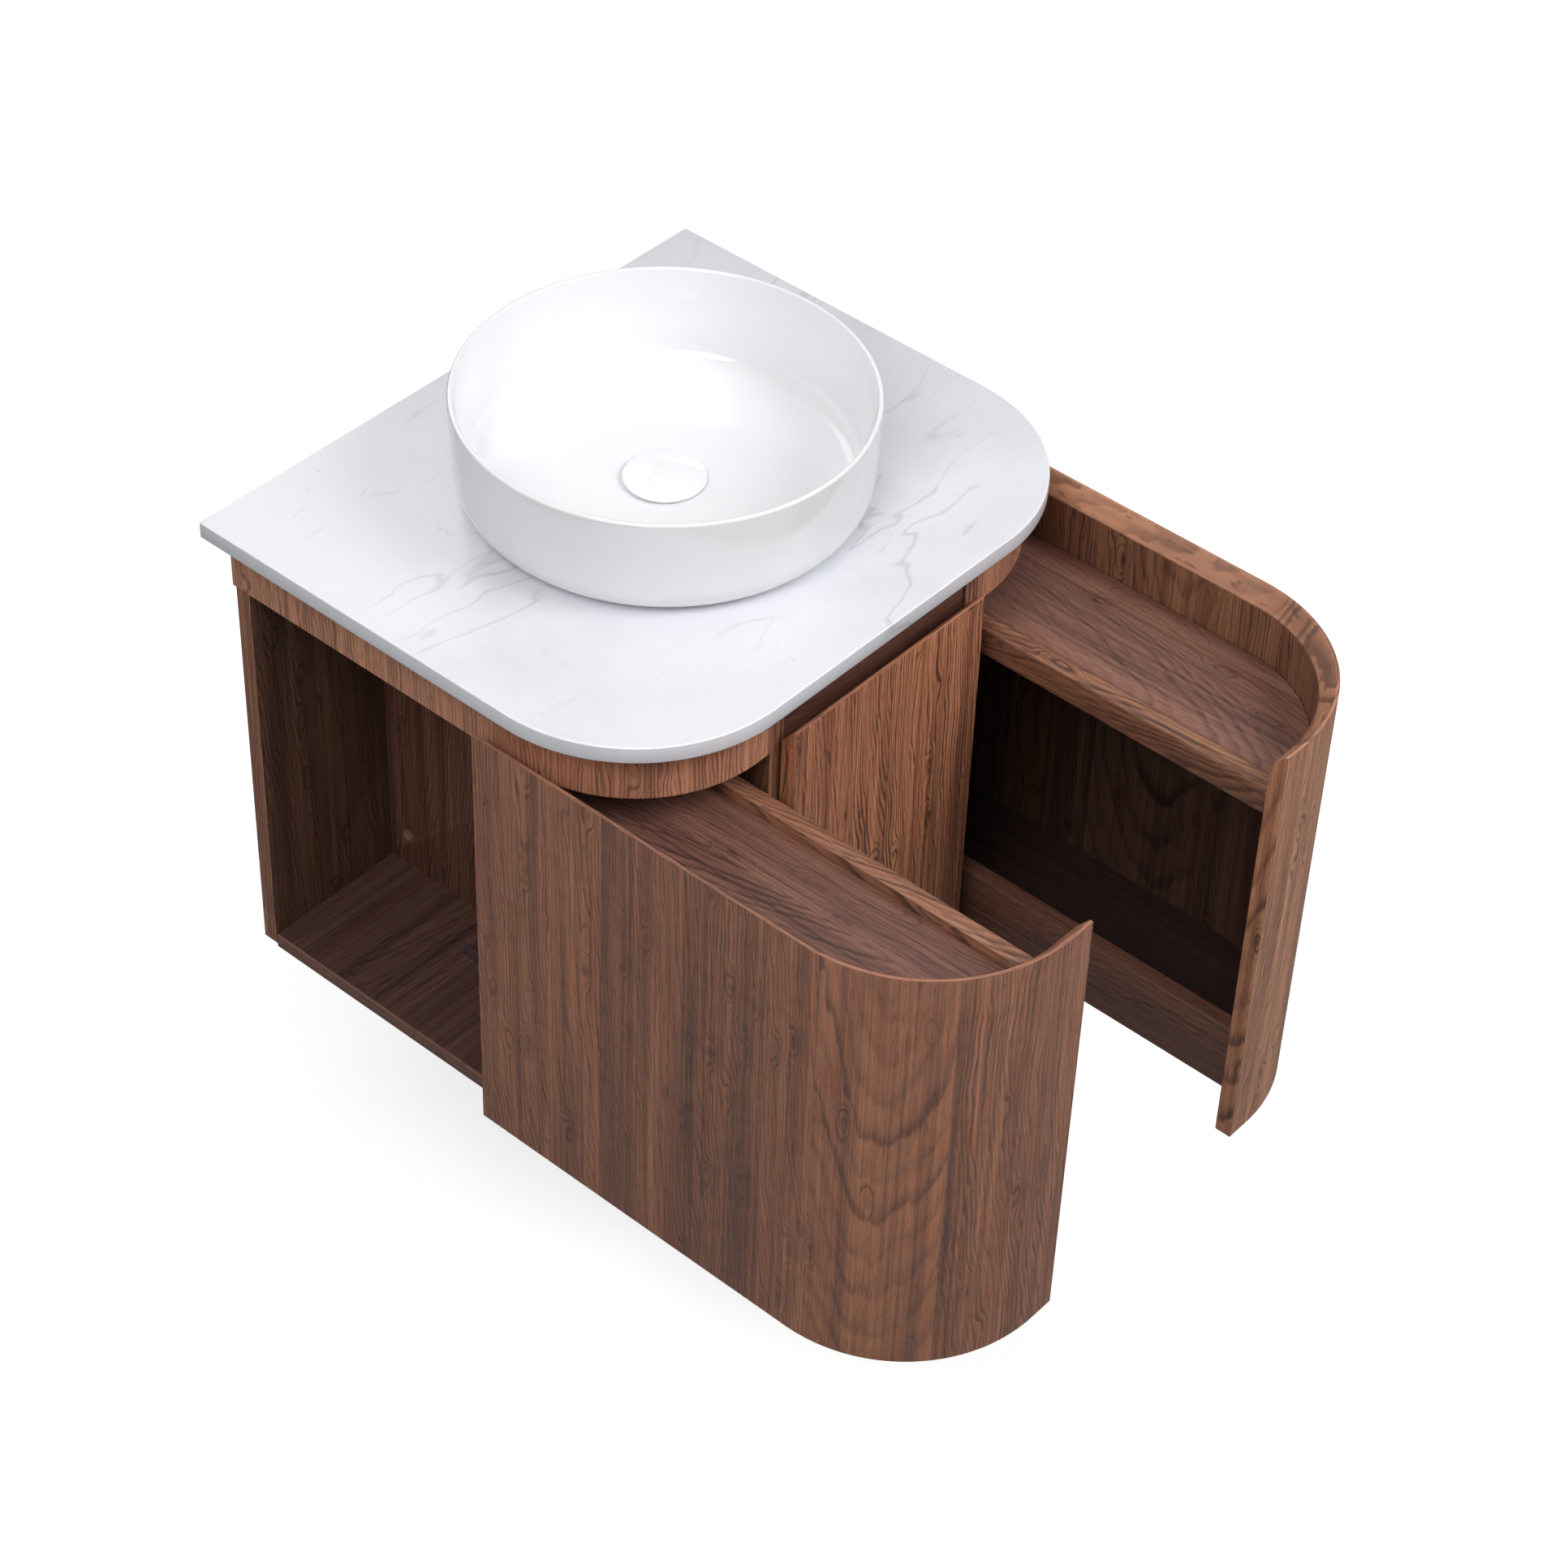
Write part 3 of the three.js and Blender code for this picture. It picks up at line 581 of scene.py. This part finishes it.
def paintGrain(shape, along, sheet, box):
    # across, along, sheet for every corner. End faces take edging that runs their own long way.
    layers = shape.loops.layers.float_vector
    layer = layers.get("grain") or layers.new("grain")
    size = box[1] - box[0]
    for face in shape.faces:
        weights = [abs(c) for c in face.normal]
        facing = weights.index(max(weights))
        others = [a for a in range(3) if a != facing]
        if facing == along:
            lengthAxis = max(others, key=lambda a: size[a])
        else:
            lengthAxis = along
        acrossAxis = next(a for a in others if a != lengthAxis)
        for loop in face.loops:
            place = loop.vert.co
            loop[layer] = (place[acrossAxis] + facing * 0.31, place[lengthAxis], sheet)
    return shape


def seedOf(name):
    return sum((i + 1) * ord(c) for i, c in enumerate(name)) % 97 * 1.13


def shadeFaces(shape, axis, sign, amount):
    # faces that look along an axis get painted shade, a near-black darkening that stands in for the
    # shadow inside; a sign of 0 takes both ways
    layer = shape.faces.layers.float.get("paintedShade") or shape.faces.layers.float.new("paintedShade")
    for face in shape.faces:
        part = face.normal[axis]
        if abs(part) > 0.9 and part * sign >= 0:
            face[layer] = amount
    return shape


def board(node, along, material=None, body="cabinet", slot="walnut", width=0.0007, paintedShade=()):
    shape = paintGrain(fromNode(node, width), along, seedOf(node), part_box(node))
    for axis, sign, amount in paintedShade:
        shadeFaces(shape, axis, sign, amount)
    # curved and eased faces are marked for the painted edge highlight
    mark = shape.faces.layers.float["arris"]
    for face in shape.faces:
        if max(abs(part) for part in face.normal) < 0.999 and face.calc_area() > 1e-5:
            face[mark] = 1.0
    return newPiece(node + ".veneered", shape, material or walnut, body, slot, node)


def spin(profile, centre, steps=128, closed=True):
    # a profile of (radius, height) points turned about the vertical through centre
    shape = bmesh.new()
    rings = []
    for radius, height in profile:
        if radius < 1e-7:
            rings.append([shape.verts.new(centre + Vector((0, 0, height)))])
            continue
        ring = []
        for i in range(steps):
            turn = math.tau * i / steps
            outward = Vector((radius * math.cos(turn), radius * math.sin(turn), height))
            ring.append(shape.verts.new(centre + outward))
        rings.append(ring)
    pairs = list(zip(rings, rings[1:] + rings[:1])) if closed else list(zip(rings, rings[1:]))
    for low, high in pairs:
        for i in range(steps):
            j = (i + 1) % steps
            corners = [low[i % len(low)], low[j % len(low)]]
            corners += [high[j % len(high)], high[i % len(high)]]
            distinct = list(dict.fromkeys(corners))
            if len(distinct) >= 3:
                shape.faces.new(distinct)
    bmesh.ops.recalc_face_normals(shape, faces=shape.faces)
    return shape


def arcPoints(centreX, centreY, radius, start, end, steps):
    points = []
    for i in range(steps + 1):
        angle = math.radians(start + (end - start) * i / steps)
        points.append((centreX + radius * math.cos(angle), centreY + radius * math.sin(angle)))
    return points


def raisePlan(outline, bottom, top, width=0.0008, segments=3):
    # an outline of (x, y) points raised between two heights, with eased edges
    shape = bmesh.new()
    low = [shape.verts.new((x, y, bottom)) for x, y in outline]
    high = [shape.verts.new((x, y, top)) for x, y in outline]
    shape.faces.new(list(reversed(low)))
    shape.faces.new(high)
    count = len(outline)
    for i in range(count):
        j = (i + 1) % count
        shape.faces.new((low[i], low[j], high[j], high[i]))
    bmesh.ops.recalc_face_normals(shape, faces=shape.faces)
    return roundEdges(shape, width, angle=20, segments=segments)


def splitSection(section, inset, height):
    # one more point where the inner side crosses a height
    points = []
    for here, following in zip(section, section[1:] + section[:1]):
        points.append(here)
        onSide = abs(here[0] - inset) < 1e-6 and abs(following[0] - inset) < 1e-6
        if onSide and (here[1] - height) * (following[1] - height) < 0:
            points.append((inset, height, 0.0))
    return points


# painted shade for the inner side of the pull-out fronts, heavier below the shelf than above it
sweptShade = {"from": 0.0115, "below": 1.08, "above": 0.6}  # how dark the inner side is


def sweepRound(stations, section, sheet, splitHeight=0.0):
    # A section of (inset, height) points carried along stations of (point, inward, distance).
    # Faces that look sideways get grain up and down, and faces that look up, grain along the run.
    shape = bmesh.new()
    grain = shape.loops.layers.float_vector.new("grain")
    mark = shape.faces.layers.float.new("arris")
    shadeLayer = shape.faces.layers.float.new("paintedShade")
    rows = []
    for point, inward, distance in stations:
        row = []
        for inset, height, _ in section:
            x, y = (point[a] + inward[a] * inset for a in (0, 1))
            row.append(shape.verts.new((x, y, height)))
        rows.append(row)
    count = len(section)
    for (i, row), nextRow in zip(enumerate(rows), rows[1:]):
        for k in range(count):
            m = (k + 1) % count
            face = shape.faces.new((row[k], row[m], nextRow[m], nextRow[k]))
            rise = abs(section[m][1] - section[k][1])
            run = abs(section[m][0] - section[k][0])
            face[mark] = section[k][2] if section[k][2] == section[m][2] else 0.0
            # inner faces of the front get painted shade, heavier below the shelf
            if min(section[k][0], section[m][0]) > sweptShade["from"] and rise > run:
                isBelow = section[k][1] + section[m][1] < splitHeight * 2
                face[shadeLayer] = sweptShade["below" if isBelow else "above"]
            reach = (stations[i][2], stations[i][2], stations[i + 1][2], stations[i + 1][2])
            ends = (section[k], section[m], section[m], section[k])
            for loop, distance, end in zip(face.loops, reach, ends):
                if rise > run * 2.5:
                    loop[grain] = (distance, end[1], sheet + (0 if end[0] < 0.008 else 9.3))
                else:
                    loop[grain] = (end[0] + end[1], distance, sheet + 5.7)
    for row, flip in ((rows[0], False), (rows[-1], True)):
        face = shape.faces.new(row if flip else list(reversed(row)))
        for loop in face.loops:
            loop[grain] = (loop.vert.co.x + loop.vert.co.y, loop.vert.co.z, sheet + 3.1)
    bmesh.ops.recalc_face_normals(shape, faces=shape.faces)
    return shape


def roundSection(points, width, steps=4):
    # the section with every corner rounded; each point also says whether it is on a rounded corner
    rounded = []
    count = len(points)
    for i, corner in enumerate(points):
        here = Vector(corner)
        before = Vector(points[i - 1]) - here
        after = Vector(points[(i + 1) % count]) - here
        reach = min(width, before.length * 0.45, after.length * 0.45)
        start = here + before.normalized() * reach
        end = here + after.normalized() * reach
        for k in range(steps + 1):
            t = k / steps
            place = start * (1 - t) ** 2 + here * 2 * t * (1 - t) + end * t ** 2
            rounded.append((place.x, place.y, 1.0))
    return rounded


def joinShapes(*shapes):
    whole = bmesh.new()
    for shape in shapes:
        part = bpy.data.meshes.new("part")
        shape.to_mesh(part)
        whole.from_mesh(part)
        bpy.data.meshes.remove(part)
        shape.free()
    return whole


def block(low, high, width=0.0005, segments=2):
    shape = bmesh.new()
    bmesh.ops.create_cube(shape, size=1)
    for vert in shape.verts:
        vert.co = Vector([low[a] if vert.co[a] < 0 else high[a] for a in range(3)])
    return roundEdges(shape, width, segments=segments)


def turnTo(shape, axis, place):
    # a shape made about +Z through the origin, turned to an axis and put in place
    turn = Vector((0, 0, 1)).rotation_difference(Vector(axis)).to_matrix().to_4x4()
    bmesh.ops.transform(shape, matrix=Matrix.Translation(place) @ turn, verts=shape.verts)
    return shape


def screwHead(place, axis, radius=0.0036, high=0.0018, steps=24):
    # a pan head with a socket in it
    profile = [(0, -0.0002), (radius, -0.0002), (radius, high * 0.2), (radius * 0.92, high * 0.6)]
    profile += [(radius * 0.7, high * 0.92), (radius * 0.46, high)]
    profile += [(radius * 0.4, high * 0.4), (0, high * 0.34)]
    return turnTo(spin(profile, Vector((0, 0, 0)), steps, closed=False), axis, place)


def screws(name, places, axis, body, slot="runner_steel", **size):
    heads = joinShapes(*[screwHead(Vector(place), axis, **size) for place in places])
    return newPiece(name, heads, zincSteel, body, slot)


stone = {"cornerRadius": 0.152, "arris": 0.0011, "cornerSteps": 64}


def fullOutline(box, radius, steps):
    # rear corners square, front corners round
    (left, front), (right, rear) = box[0].xy, box[1].xy
    outline = [(right, rear), (left, rear)]
    outline += arcPoints(left + radius, front + radius, radius, 180, 270, steps)
    outline += arcPoints(right - radius, front + radius, radius, 270, 360, steps)
    return outline


def makeStoneTop():
    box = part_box("stone_top")
    outline = fullOutline(box, stone["cornerRadius"], stone["cornerSteps"])
    shape = raisePlan(outline, box[0].z, box[1].z, stone["arris"])
    newPiece("stone_top.slab", shape, marble, "cabinet", "white_stone", "stone_top")


basin = {
    "wall": 0.0048,
    "foot": 0.178,  # outer radius where the wall meets the foot's curve
    "footCurve": 0.031,
    "floorHeight": 0.009,
    "fall": 0.0065,  # how far the floor falls from the wall to the drain
    "insideCurve": 0.018,
    "drainRadius": 0.0225,
    "steps": 192,
}


def basinProfile(radius, height):
    wall = basin["wall"]
    lip = wall / 2
    curve = basin["footCurve"]
    flat = basin["foot"] - curve
    points = [(basin["drainRadius"], 0.0), (flat, 0.0)]
    for i in range(1, 11):
        turn = math.pi / 2 * i / 10
        points.append((flat + curve * math.sin(turn), curve * (1 - math.cos(turn))))
    for i in range(13):
        turn = math.pi * i / 12
        points.append((radius - lip + lip * math.cos(turn), height - lip + lip * math.sin(turn)))
    inner = basin["insideCurve"]
    fall = basin["fall"]
    creaseX = basin["foot"] - wall - inner - 0.004
    creaseZ = basin["floorHeight"] + fall + inner
    for i in range(0, 13):
        turn = math.pi / 2 * i / 12
        points.append((creaseX + inner * math.cos(turn), creaseZ - inner * math.sin(turn)))
    floor = basin["floorHeight"]
    for i in range(1, 7):
        share = i / 6
        drop = floor + fall * (1 - share) ** 1.3 + 0.0003
        points.append((creaseX + (0.034 - creaseX) * share, drop))
    points += [(0.0318, floor + 0.0002), (0.031, floor - 0.0006), (0.0302, floor)]
    points.append((basin["drainRadius"], floor))
    return points


def makeBasin():
    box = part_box("sink_bowl")
    centre = Vector(((box[0].x + box[1].x) / 2, (box[0].y + box[1].y) / 2, box[0].z))
    radius = (box[1].x - box[0].x) / 2
    shape = spin(basinProfile(radius, box[1].z - box[0].z), centre, basin["steps"])
    newPiece("sink_bowl.glazed", shape, glaze, "cabinet", "white_ceramic", "sink_bowl")
    return centre


def makeDrain():
    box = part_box("drain_cap")
    centre = Vector(((box[0].x + box[1].x) / 2, (box[0].y + box[1].y) / 2, box[0].z))
    high = box[1].z - box[0].z
    radius = (box[1].x - box[0].x) / 2
    under = high - 0.0064
    profile = [(0, 0), (0.0032, 0), (0.004, 0.0008), (0.004, under + 0.0006)]
    profile += [(0.028, under + 0.0006), (0.028, under), (radius - 0.0012, under)]
    profile += [(radius - 0.0003, under + 0.0004), (radius, under + 0.0012)]
    for i in range(15):
        share = math.cos(math.pi / 2 * i / 14) ** 0.8
        profile.append(((radius - 0.0004) * share, under + 0.002 + 0.0044 * (1 - share ** 2)))
    shape = spin(profile, centre, 96, closed=False)
    newPiece("drain_cap.glazed", shape, glaze, "drain_plug", "white_ceramic", "drain_cap")
    for node in ("drain_body", "drain_nut", "tailpiece"):
        newPiece(node + ".plated", fromNode(node, 0.0003), chrome, "cabinet", "chrome", node)
    node = "drain_gasket"
    newPiece(node + ".moulded", fromNode(node, 0.0005), rubber, "cabinet", "black_rubber", node)


carcass = {"cornerRadius": 0.131, "ease": 0.0007, "steps": 48}


def sideStations(outerX, front, radius, rear, end, steps=56, straight=10):
    # the left-hand run: along the side, round the front corner, across to the end
    stations = []
    distance = 0.0
    for i in range(straight + 1):
        y = rear + (front + radius - rear) * i / straight
        stations.append(((outerX, y), (1.0, 0.0), abs(y - rear)))
    distance = stations[-1][2]
    for i in range(1, steps + 1):
        turn = math.pi / 2 * i / steps
        inward = (math.cos(turn), math.sin(turn))
        point = (outerX + radius - radius * inward[0], front + radius - radius * inward[1])
        stations.append((point, inward, distance + radius * turn))
    distance = stations[-1][2]
    if end > outerX + radius + 1e-5:
        stations.append(((end, front), (0.0, 1.0), distance + end - outerX - radius))
    return stations


def mirrored(shape):
    bmesh.ops.scale(shape, vec=(-1, 1, 1), verts=shape.verts)
    bmesh.ops.reverse_faces(shape, faces=shape.faces)
    return shape


def sideBox(node, side):
    # a node's box as if it were on the left
    low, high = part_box(node)
    if side > 0:
        low, high = Vector((-high.x, low.y, low.z)), Vector((-low.x, high.y, high.z))
    return low, high


def makeApron(name, side):
    node = "apron_" + name
    low, high = sideBox(node, side)
    thick = 0.012
    radius = 0.1335
    section = roundSection([(0, low.z), (0, high.z), (thick, high.z), (thick, low.z)], 0.0007)
    stations = sideStations(low.x, low.y, radius, high.y, high.x)
    shape = sweepRound(stations, section, seedOf(node))
    if side > 0:
        mirrored(shape)
    newPiece(node + ".veneered", shape, paintedLightApronWalnut, "cabinet", "walnut", node)


def makeCabinet():
    # painted shade darkens the bay's inside faces: both sides of the partitions, the back panel's
    # front and the bottom panel's top
    for name, side in sides.items():
        makeApron(name, side)
        board("partition_" + name, 2, paintedShade=[(0, 0, 0.5)])
    board("back_panel", 2, paintedShade=[(1, -1, 0.8)])
    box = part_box("bottom_panel")
    outline = fullOutline(box, carcass["cornerRadius"], carcass["steps"])
    shape = raisePlan(outline, box[0].z, box[1].z, carcass["ease"])
    paintGrain(shape, 0, seedOf("bottom_panel"), box)
    shadeFaces(shape, 2, 1, 0.75)
    newPiece("bottom_panel.veneered", shape, walnutShelf, "cabinet", "walnut", "bottom_panel")
    board("recess_rail", 0, walnutBand)
    board("front_stretcher", 0, darkBoard, slot="dark_board")
    board("rear_stretcher", 0, darkBoard, slot="dark_board")


def makePlyPieces():
    for node in ("wall_rail", "cabinet_cleat", "wall_spacer_left", "wall_spacer_right"):
        low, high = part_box(node)
        shape = fromNode(node, 0.0004, 1)
        layer = shape.loops.layers.float_vector.new("ply")
        sawn = shape.faces.layers.float.new("sawn")
        for face in shape.faces:
            face[sawn] = 0.0 if abs(face.normal.y) > 0.9 else 1.0
            for loop in face.loops:
                place = loop.vert.co
                loop[layer] = (place.z, place.x, place.y)
        newPiece(node + ".ply", shape, plywood, "cabinet", "plywood", node)
    low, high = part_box("cabinet_cleat")
    places = [(x, high.y, high.z - 0.017) for x in (-0.15, -0.05, 0.05, 0.15)]
    screws("cabinet_cleat.screws", places, (0, 1, 0), "cabinet", high=0.0016)


pullout = {
    "radius": 0.146,
    "thick": 0.016,
    "lip": 0.003,
    "bevelDrop": 0.016,
    "ease": 0.0008,
    "gap": 0.0003,
    "sheets": {"left": 1.985, "right": 37.4},
    # painted shade on the shelf's underside and on both faces of the floor, standing in for the
    # shadow inside the pull-out
    "paintedShade": {"shelf": (-1, 0.9), "floor": (0, 1.12)},
    # each rail's walnut and the amount of painted shade on its sides
    "rails": {"top_rail": (walnut, 0.0), "low_rail": (walnutBand, 0.1)},
}


def makePulloutFront(name, side):
    node = name + "_pullout_front"
    low, high = sideBox(node, side)
    thick = pullout["thick"]
    outline = [
        (0, low.z),
        (0, high.z),
        (pullout["lip"], high.z),
        (thick, high.z - pullout["bevelDrop"]),
        (thick, low.z),
    ]
    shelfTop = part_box(name + "_pullout_shelf")[1].z
    section = splitSection(roundSection(outline, pullout["ease"]), thick, shelfTop)
    stations = sideStations(low.x, low.y, pullout["radius"], high.y, high.x, 72, 14)
    shape = sweepRound(stations, section, pullout["sheets"][name], shelfTop)
    if side > 0:
        mirrored(shape)
    newPiece(node + ".veneered", shape, outerWalnut[name], name + "_pullout", "walnut", node)


def sideOutline(box, radius, steps):
    # the plan of a pull-out's shelf: round at its front outer corner, cut straight at the rail
    low, high = box
    centreX = low.x + radius
    stop = 360 - math.degrees(math.acos(max(-1, min(1, (high.x - centreX) / radius))))
    corner = arcPoints(centreX, low.y + radius, radius, 180, stop, steps)
    return [(high.x, high.y), (low.x, high.y)] + corner


def makePulloutBox(name, side):
    body = name + "_pullout"
    radius = pullout["radius"] - pullout["thick"] - pullout["gap"]
    for part in ("shelf", "floor"):
        node = f"{body}_{part}"
        box = sideBox(node, side)
        centreX = box[0].x + radius
        deepest = radius * math.sin(math.acos(max(-1, min(1, (box[1].x - centreX) / radius))))
        box = (Vector((box[0].x, box[0].y - (radius - deepest), box[0].z)), box[1])
        shape = raisePlan(sideOutline(box, radius, 48), box[0].z, box[1].z, 0.0006)
        paintGrain(shape, 1, seedOf(node), box)
        # painted shade: the shelf's underside and both faces of the floor are darkened
        shadeFaces(shape, 2, *pullout["paintedShade"][part])
        if side > 0:
            mirrored(shape)
        newPiece(node + ".veneered", shape, walnutShelf, body, "walnut", node)
    # each rail's second value is the amount of painted shade on its sides; the rear board takes
    # painted shade on both faces
    for part, (material, darker) in pullout["rails"].items():
        board(f"{body}_{part}", 1, material, body, paintedShade=[(0, 0, darker)])
    board(body + "_rear", 0, walnutShelf, body, paintedShade=[(1, 0, 0.9)])


def metalPiece(node, finish, width, body):
    newPiece(node + finish, fromNode(node, width), zincSteel, body, "runner_steel", node)


def makeRunners(name, side):
    owners = {"outer": "cabinet", "middle": name + "_runners", "inner": name + "_pullout"}
    for level in ("top", "low"):
        for member, body in owners.items():
            node = f"{name}_{level}_runner_{member}"
            metalPiece(node, ".pressed", 0.00035, body)
    bracket = name + "_runner_bracket"
    metalPiece(bracket, ".bent", 0.0005, "cabinet")
    low, high = sideBox(bracket, side)
    face = -side * (high.x - 0.002)
    length = high.y - low.y
    places = [(face, low.y + length * share, low.z + 0.011) for share in (0.08, 0.5, 0.92)]
    screws(bracket + ".screws", places, (side, 0, 0), "cabinet")


hinge = {
    "flange": (0.0105, 0.001, 0.026),
    "flangeScrew": 0.0205,
    "plateScrew": (0.006, 0.016),
    "link": (0.006, 0.0055),
}


def makeHingeDetails(level):
    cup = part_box("hinge_cup_" + level)
    middle = (cup[0] + cup[1]) / 2
    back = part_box("door_panel")[1].y
    wide, thick, tall = hinge["flange"]
    low = (middle.x - wide, back + 0.0001, middle.z - tall)
    flange = block(low, (middle.x + wide, back + thick, middle.z + tall), 0.0003)
    newPiece(f"hinge_cup_{level}.flange", flange, zincSteel, "door", "runner_steel")
    reach = hinge["flangeScrew"]
    places = [(middle.x, back + thick, middle.z + turn * reach) for turn in (-1, 1)]
    screws(f"hinge_cup_{level}.screws", places, (0, 1, 0), "door", radius=0.0032, high=0.0009)
    wide, tall = hinge["link"]
    low = (middle.x - wide, cup[0].y + 0.002, middle.z - tall)
    link = block(low, (middle.x + wide, back + 0.002, middle.z + tall), 0.0008)
    newPiece(f"hinge_cup_{level}.link", link, zincSteel, "door", "runner_steel")
    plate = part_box("hinge_plate_" + level)
    inset, rise = hinge["plateScrew"]
    places = [(plate[0].x, plate[1].y - inset, middle.z + turn * rise) for turn in (-1, 1)]
    screws(f"hinge_plate_{level}.screws", places, (-1, 0, 0), "cabinet")
    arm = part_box("hinge_arm_" + level)
    length = arm[1].y - arm[0].y
    places = [(arm[0].x, arm[0].y + share * length, middle.z) for share in (0.35, 0.82)]
    screws(f"hinge_arm_{level}.screws", places, (-1, 0, 0), "cabinet", radius=0.003, high=0.0014)


def makeDoor():
    shape = fromNode("door_panel", 0.0007, 3)
    paintGrain(shape, 2, seedOf("door_panel"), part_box("door_panel"))
    newPiece("door_panel.veneered", shape, walnutDoor, "door", "walnut", "door_panel")
    for level in ("upper", "lower"):
        for part, body in (("cup", "door"), ("plate", "cabinet"), ("arm", "cabinet")):
            node = f"hinge_{part}_{level}"
            metalPiece(node, ".plated", 0.0004, body)
        makeHingeDetails(level)


makeStoneTop()
makeBasin()
makeDrain()
makeCabinet()
makePlyPieces()
for sideName, sideSign in sides.items():
    makePulloutFront(sideName, sideSign)
    makePulloutBox(sideName, sideSign)
    makeRunners(sideName, sideSign)
makeDoor()
print("pieces built")

studio = {
    "floorHeight": -0.78,
    "floorSize": 14.0,
    "zenith": 0.36,
    "horizon": 0.2,
    "floorSeen": 0.97,
    "floorBounce": 0.25,
    "floorGlow": 0.42,
    "key": {"place": (1.3, -3.9, 3.4), "size": 2.6, "power": 127},
    "fill": {"place": (-2.5, -1.3, 3.2), "size": 2.4, "power": 80},
    "rear": {"place": (1.4, 3.2, 2.4), "size": 2.4, "power": 26},
    "overhead": {"place": (0.2, -0.2, 3.3), "size": 2.4, "power": 6},
}


def grey(level):
    return (level, level, level, 1)


def makeFloor():
    size = studio["floorSize"] / 2
    shape = bmesh.new()
    corners = [(-size, -size), (size, -size), (size, size), (-size, size)]
    shape.faces.new([shape.verts.new((x, y, studio["floorHeight"])) for x, y in corners])
    mesh = bpy.data.meshes.new("floor")
    shape.to_mesh(mesh)
    shape.free()
    floor = bpy.data.objects.new("floor", mesh)
    scene.collection.objects.link(floor)
    material, tree, shader = newMaterial("paleFloor", **{"Roughness": 0.9})
    place = addNode(tree, "ShaderNodeTexCoord").outputs["Object"]
    seen = studio["floorSeen"]
    pale = mixColor(tree, noise(tree, place, 2.0, 2), grey(seen), grey(seen - 0.02))
    toCamera = addNode(tree, "ShaderNodeLightPath").outputs["Is Camera Ray"]
    shade = mixColor(tree, toCamera, grey(studio["floorBounce"]), pale)
    feed(tree, shader.inputs["Base Color"], shade)
    glow = mixColor(tree, toCamera, grey(0), grey(studio["floorGlow"]))
    feed(tree, shader.inputs["Emission Color"], glow)
    shader.inputs["Emission Strength"].default_value = 1.0
    mesh.materials.append(material)


def addLight(name):
    values = studio[name]
    data = bpy.data.lights.new(name, "AREA")
    data.shape = "DISK"
    data.size = values["size"]
    data.energy = values["power"]
    light = bpy.data.objects.new(name, data)
    light.location = values["place"]
    aim = Vector((0, -0.4, -0.1)) - Vector(values["place"])
    light.rotation_euler = aim.to_track_quat("-Z", "Y").to_euler()
    scene.collection.objects.link(light)


def makeWorld():
    world = bpy.data.worlds.new("studio")
    world.use_nodes = True
    tree = world.node_tree
    background = tree.nodes["Background"]
    background.inputs["Color"].default_value = (1.0, 1.0, 1.0, 1)
    height = separate(tree, addNode(tree, "ShaderNodeTexCoord").outputs["Generated"])[2]
    strength = remap(tree, height, 0.15, 0.8, studio["horizon"], studio["zenith"], smooth=True)
    seen = addNode(tree, "ShaderNodeLightPath").outputs["Is Camera Ray"]
    feed(tree, background.inputs["Strength"], calc(tree, "MAXIMUM", strength, seen))
    scene.world = world


cameraValues = {
    "lens": 89.374,
    "azimuth": -50.242,
    "elevation": 42.087,
    "roll": 2.283,
    "target": (-0.01989, -0.41038, -0.12428),
    "distance": 3.34952,
}


def makeCamera():
    azimuth = math.radians(cameraValues["azimuth"])
    elevation = math.radians(cameraValues["elevation"])
    roll = math.radians(cameraValues["roll"])
    flat = math.cos(elevation)
    back = Vector((math.sin(azimuth) * flat, -math.cos(azimuth) * flat, math.sin(elevation)))
    level = Vector((0, 0, 1)).cross(back).normalized()
    upright = back.cross(level)
    right = level * math.cos(roll) + upright * math.sin(roll)
    up = back.cross(right)
    data = bpy.data.cameras.new("camera")
    data.lens = cameraValues["lens"]
    data.sensor_width = 36
    camera = bpy.data.objects.new("camera", data)
    place = Vector(cameraValues["target"]) + back * cameraValues["distance"]
    turn = Matrix((right, up, back)).transposed().to_4x4()
    camera.matrix_world = Matrix.Translation(place) @ turn
    scene.collection.objects.link(camera)
    scene.camera = camera


makeFloor()
for lightName in ("key", "fill", "rear", "overhead"):
    addLight(lightName)
makeWorld()
makeCamera()
scene.view_settings.view_transform = "Standard"
print("studio built")
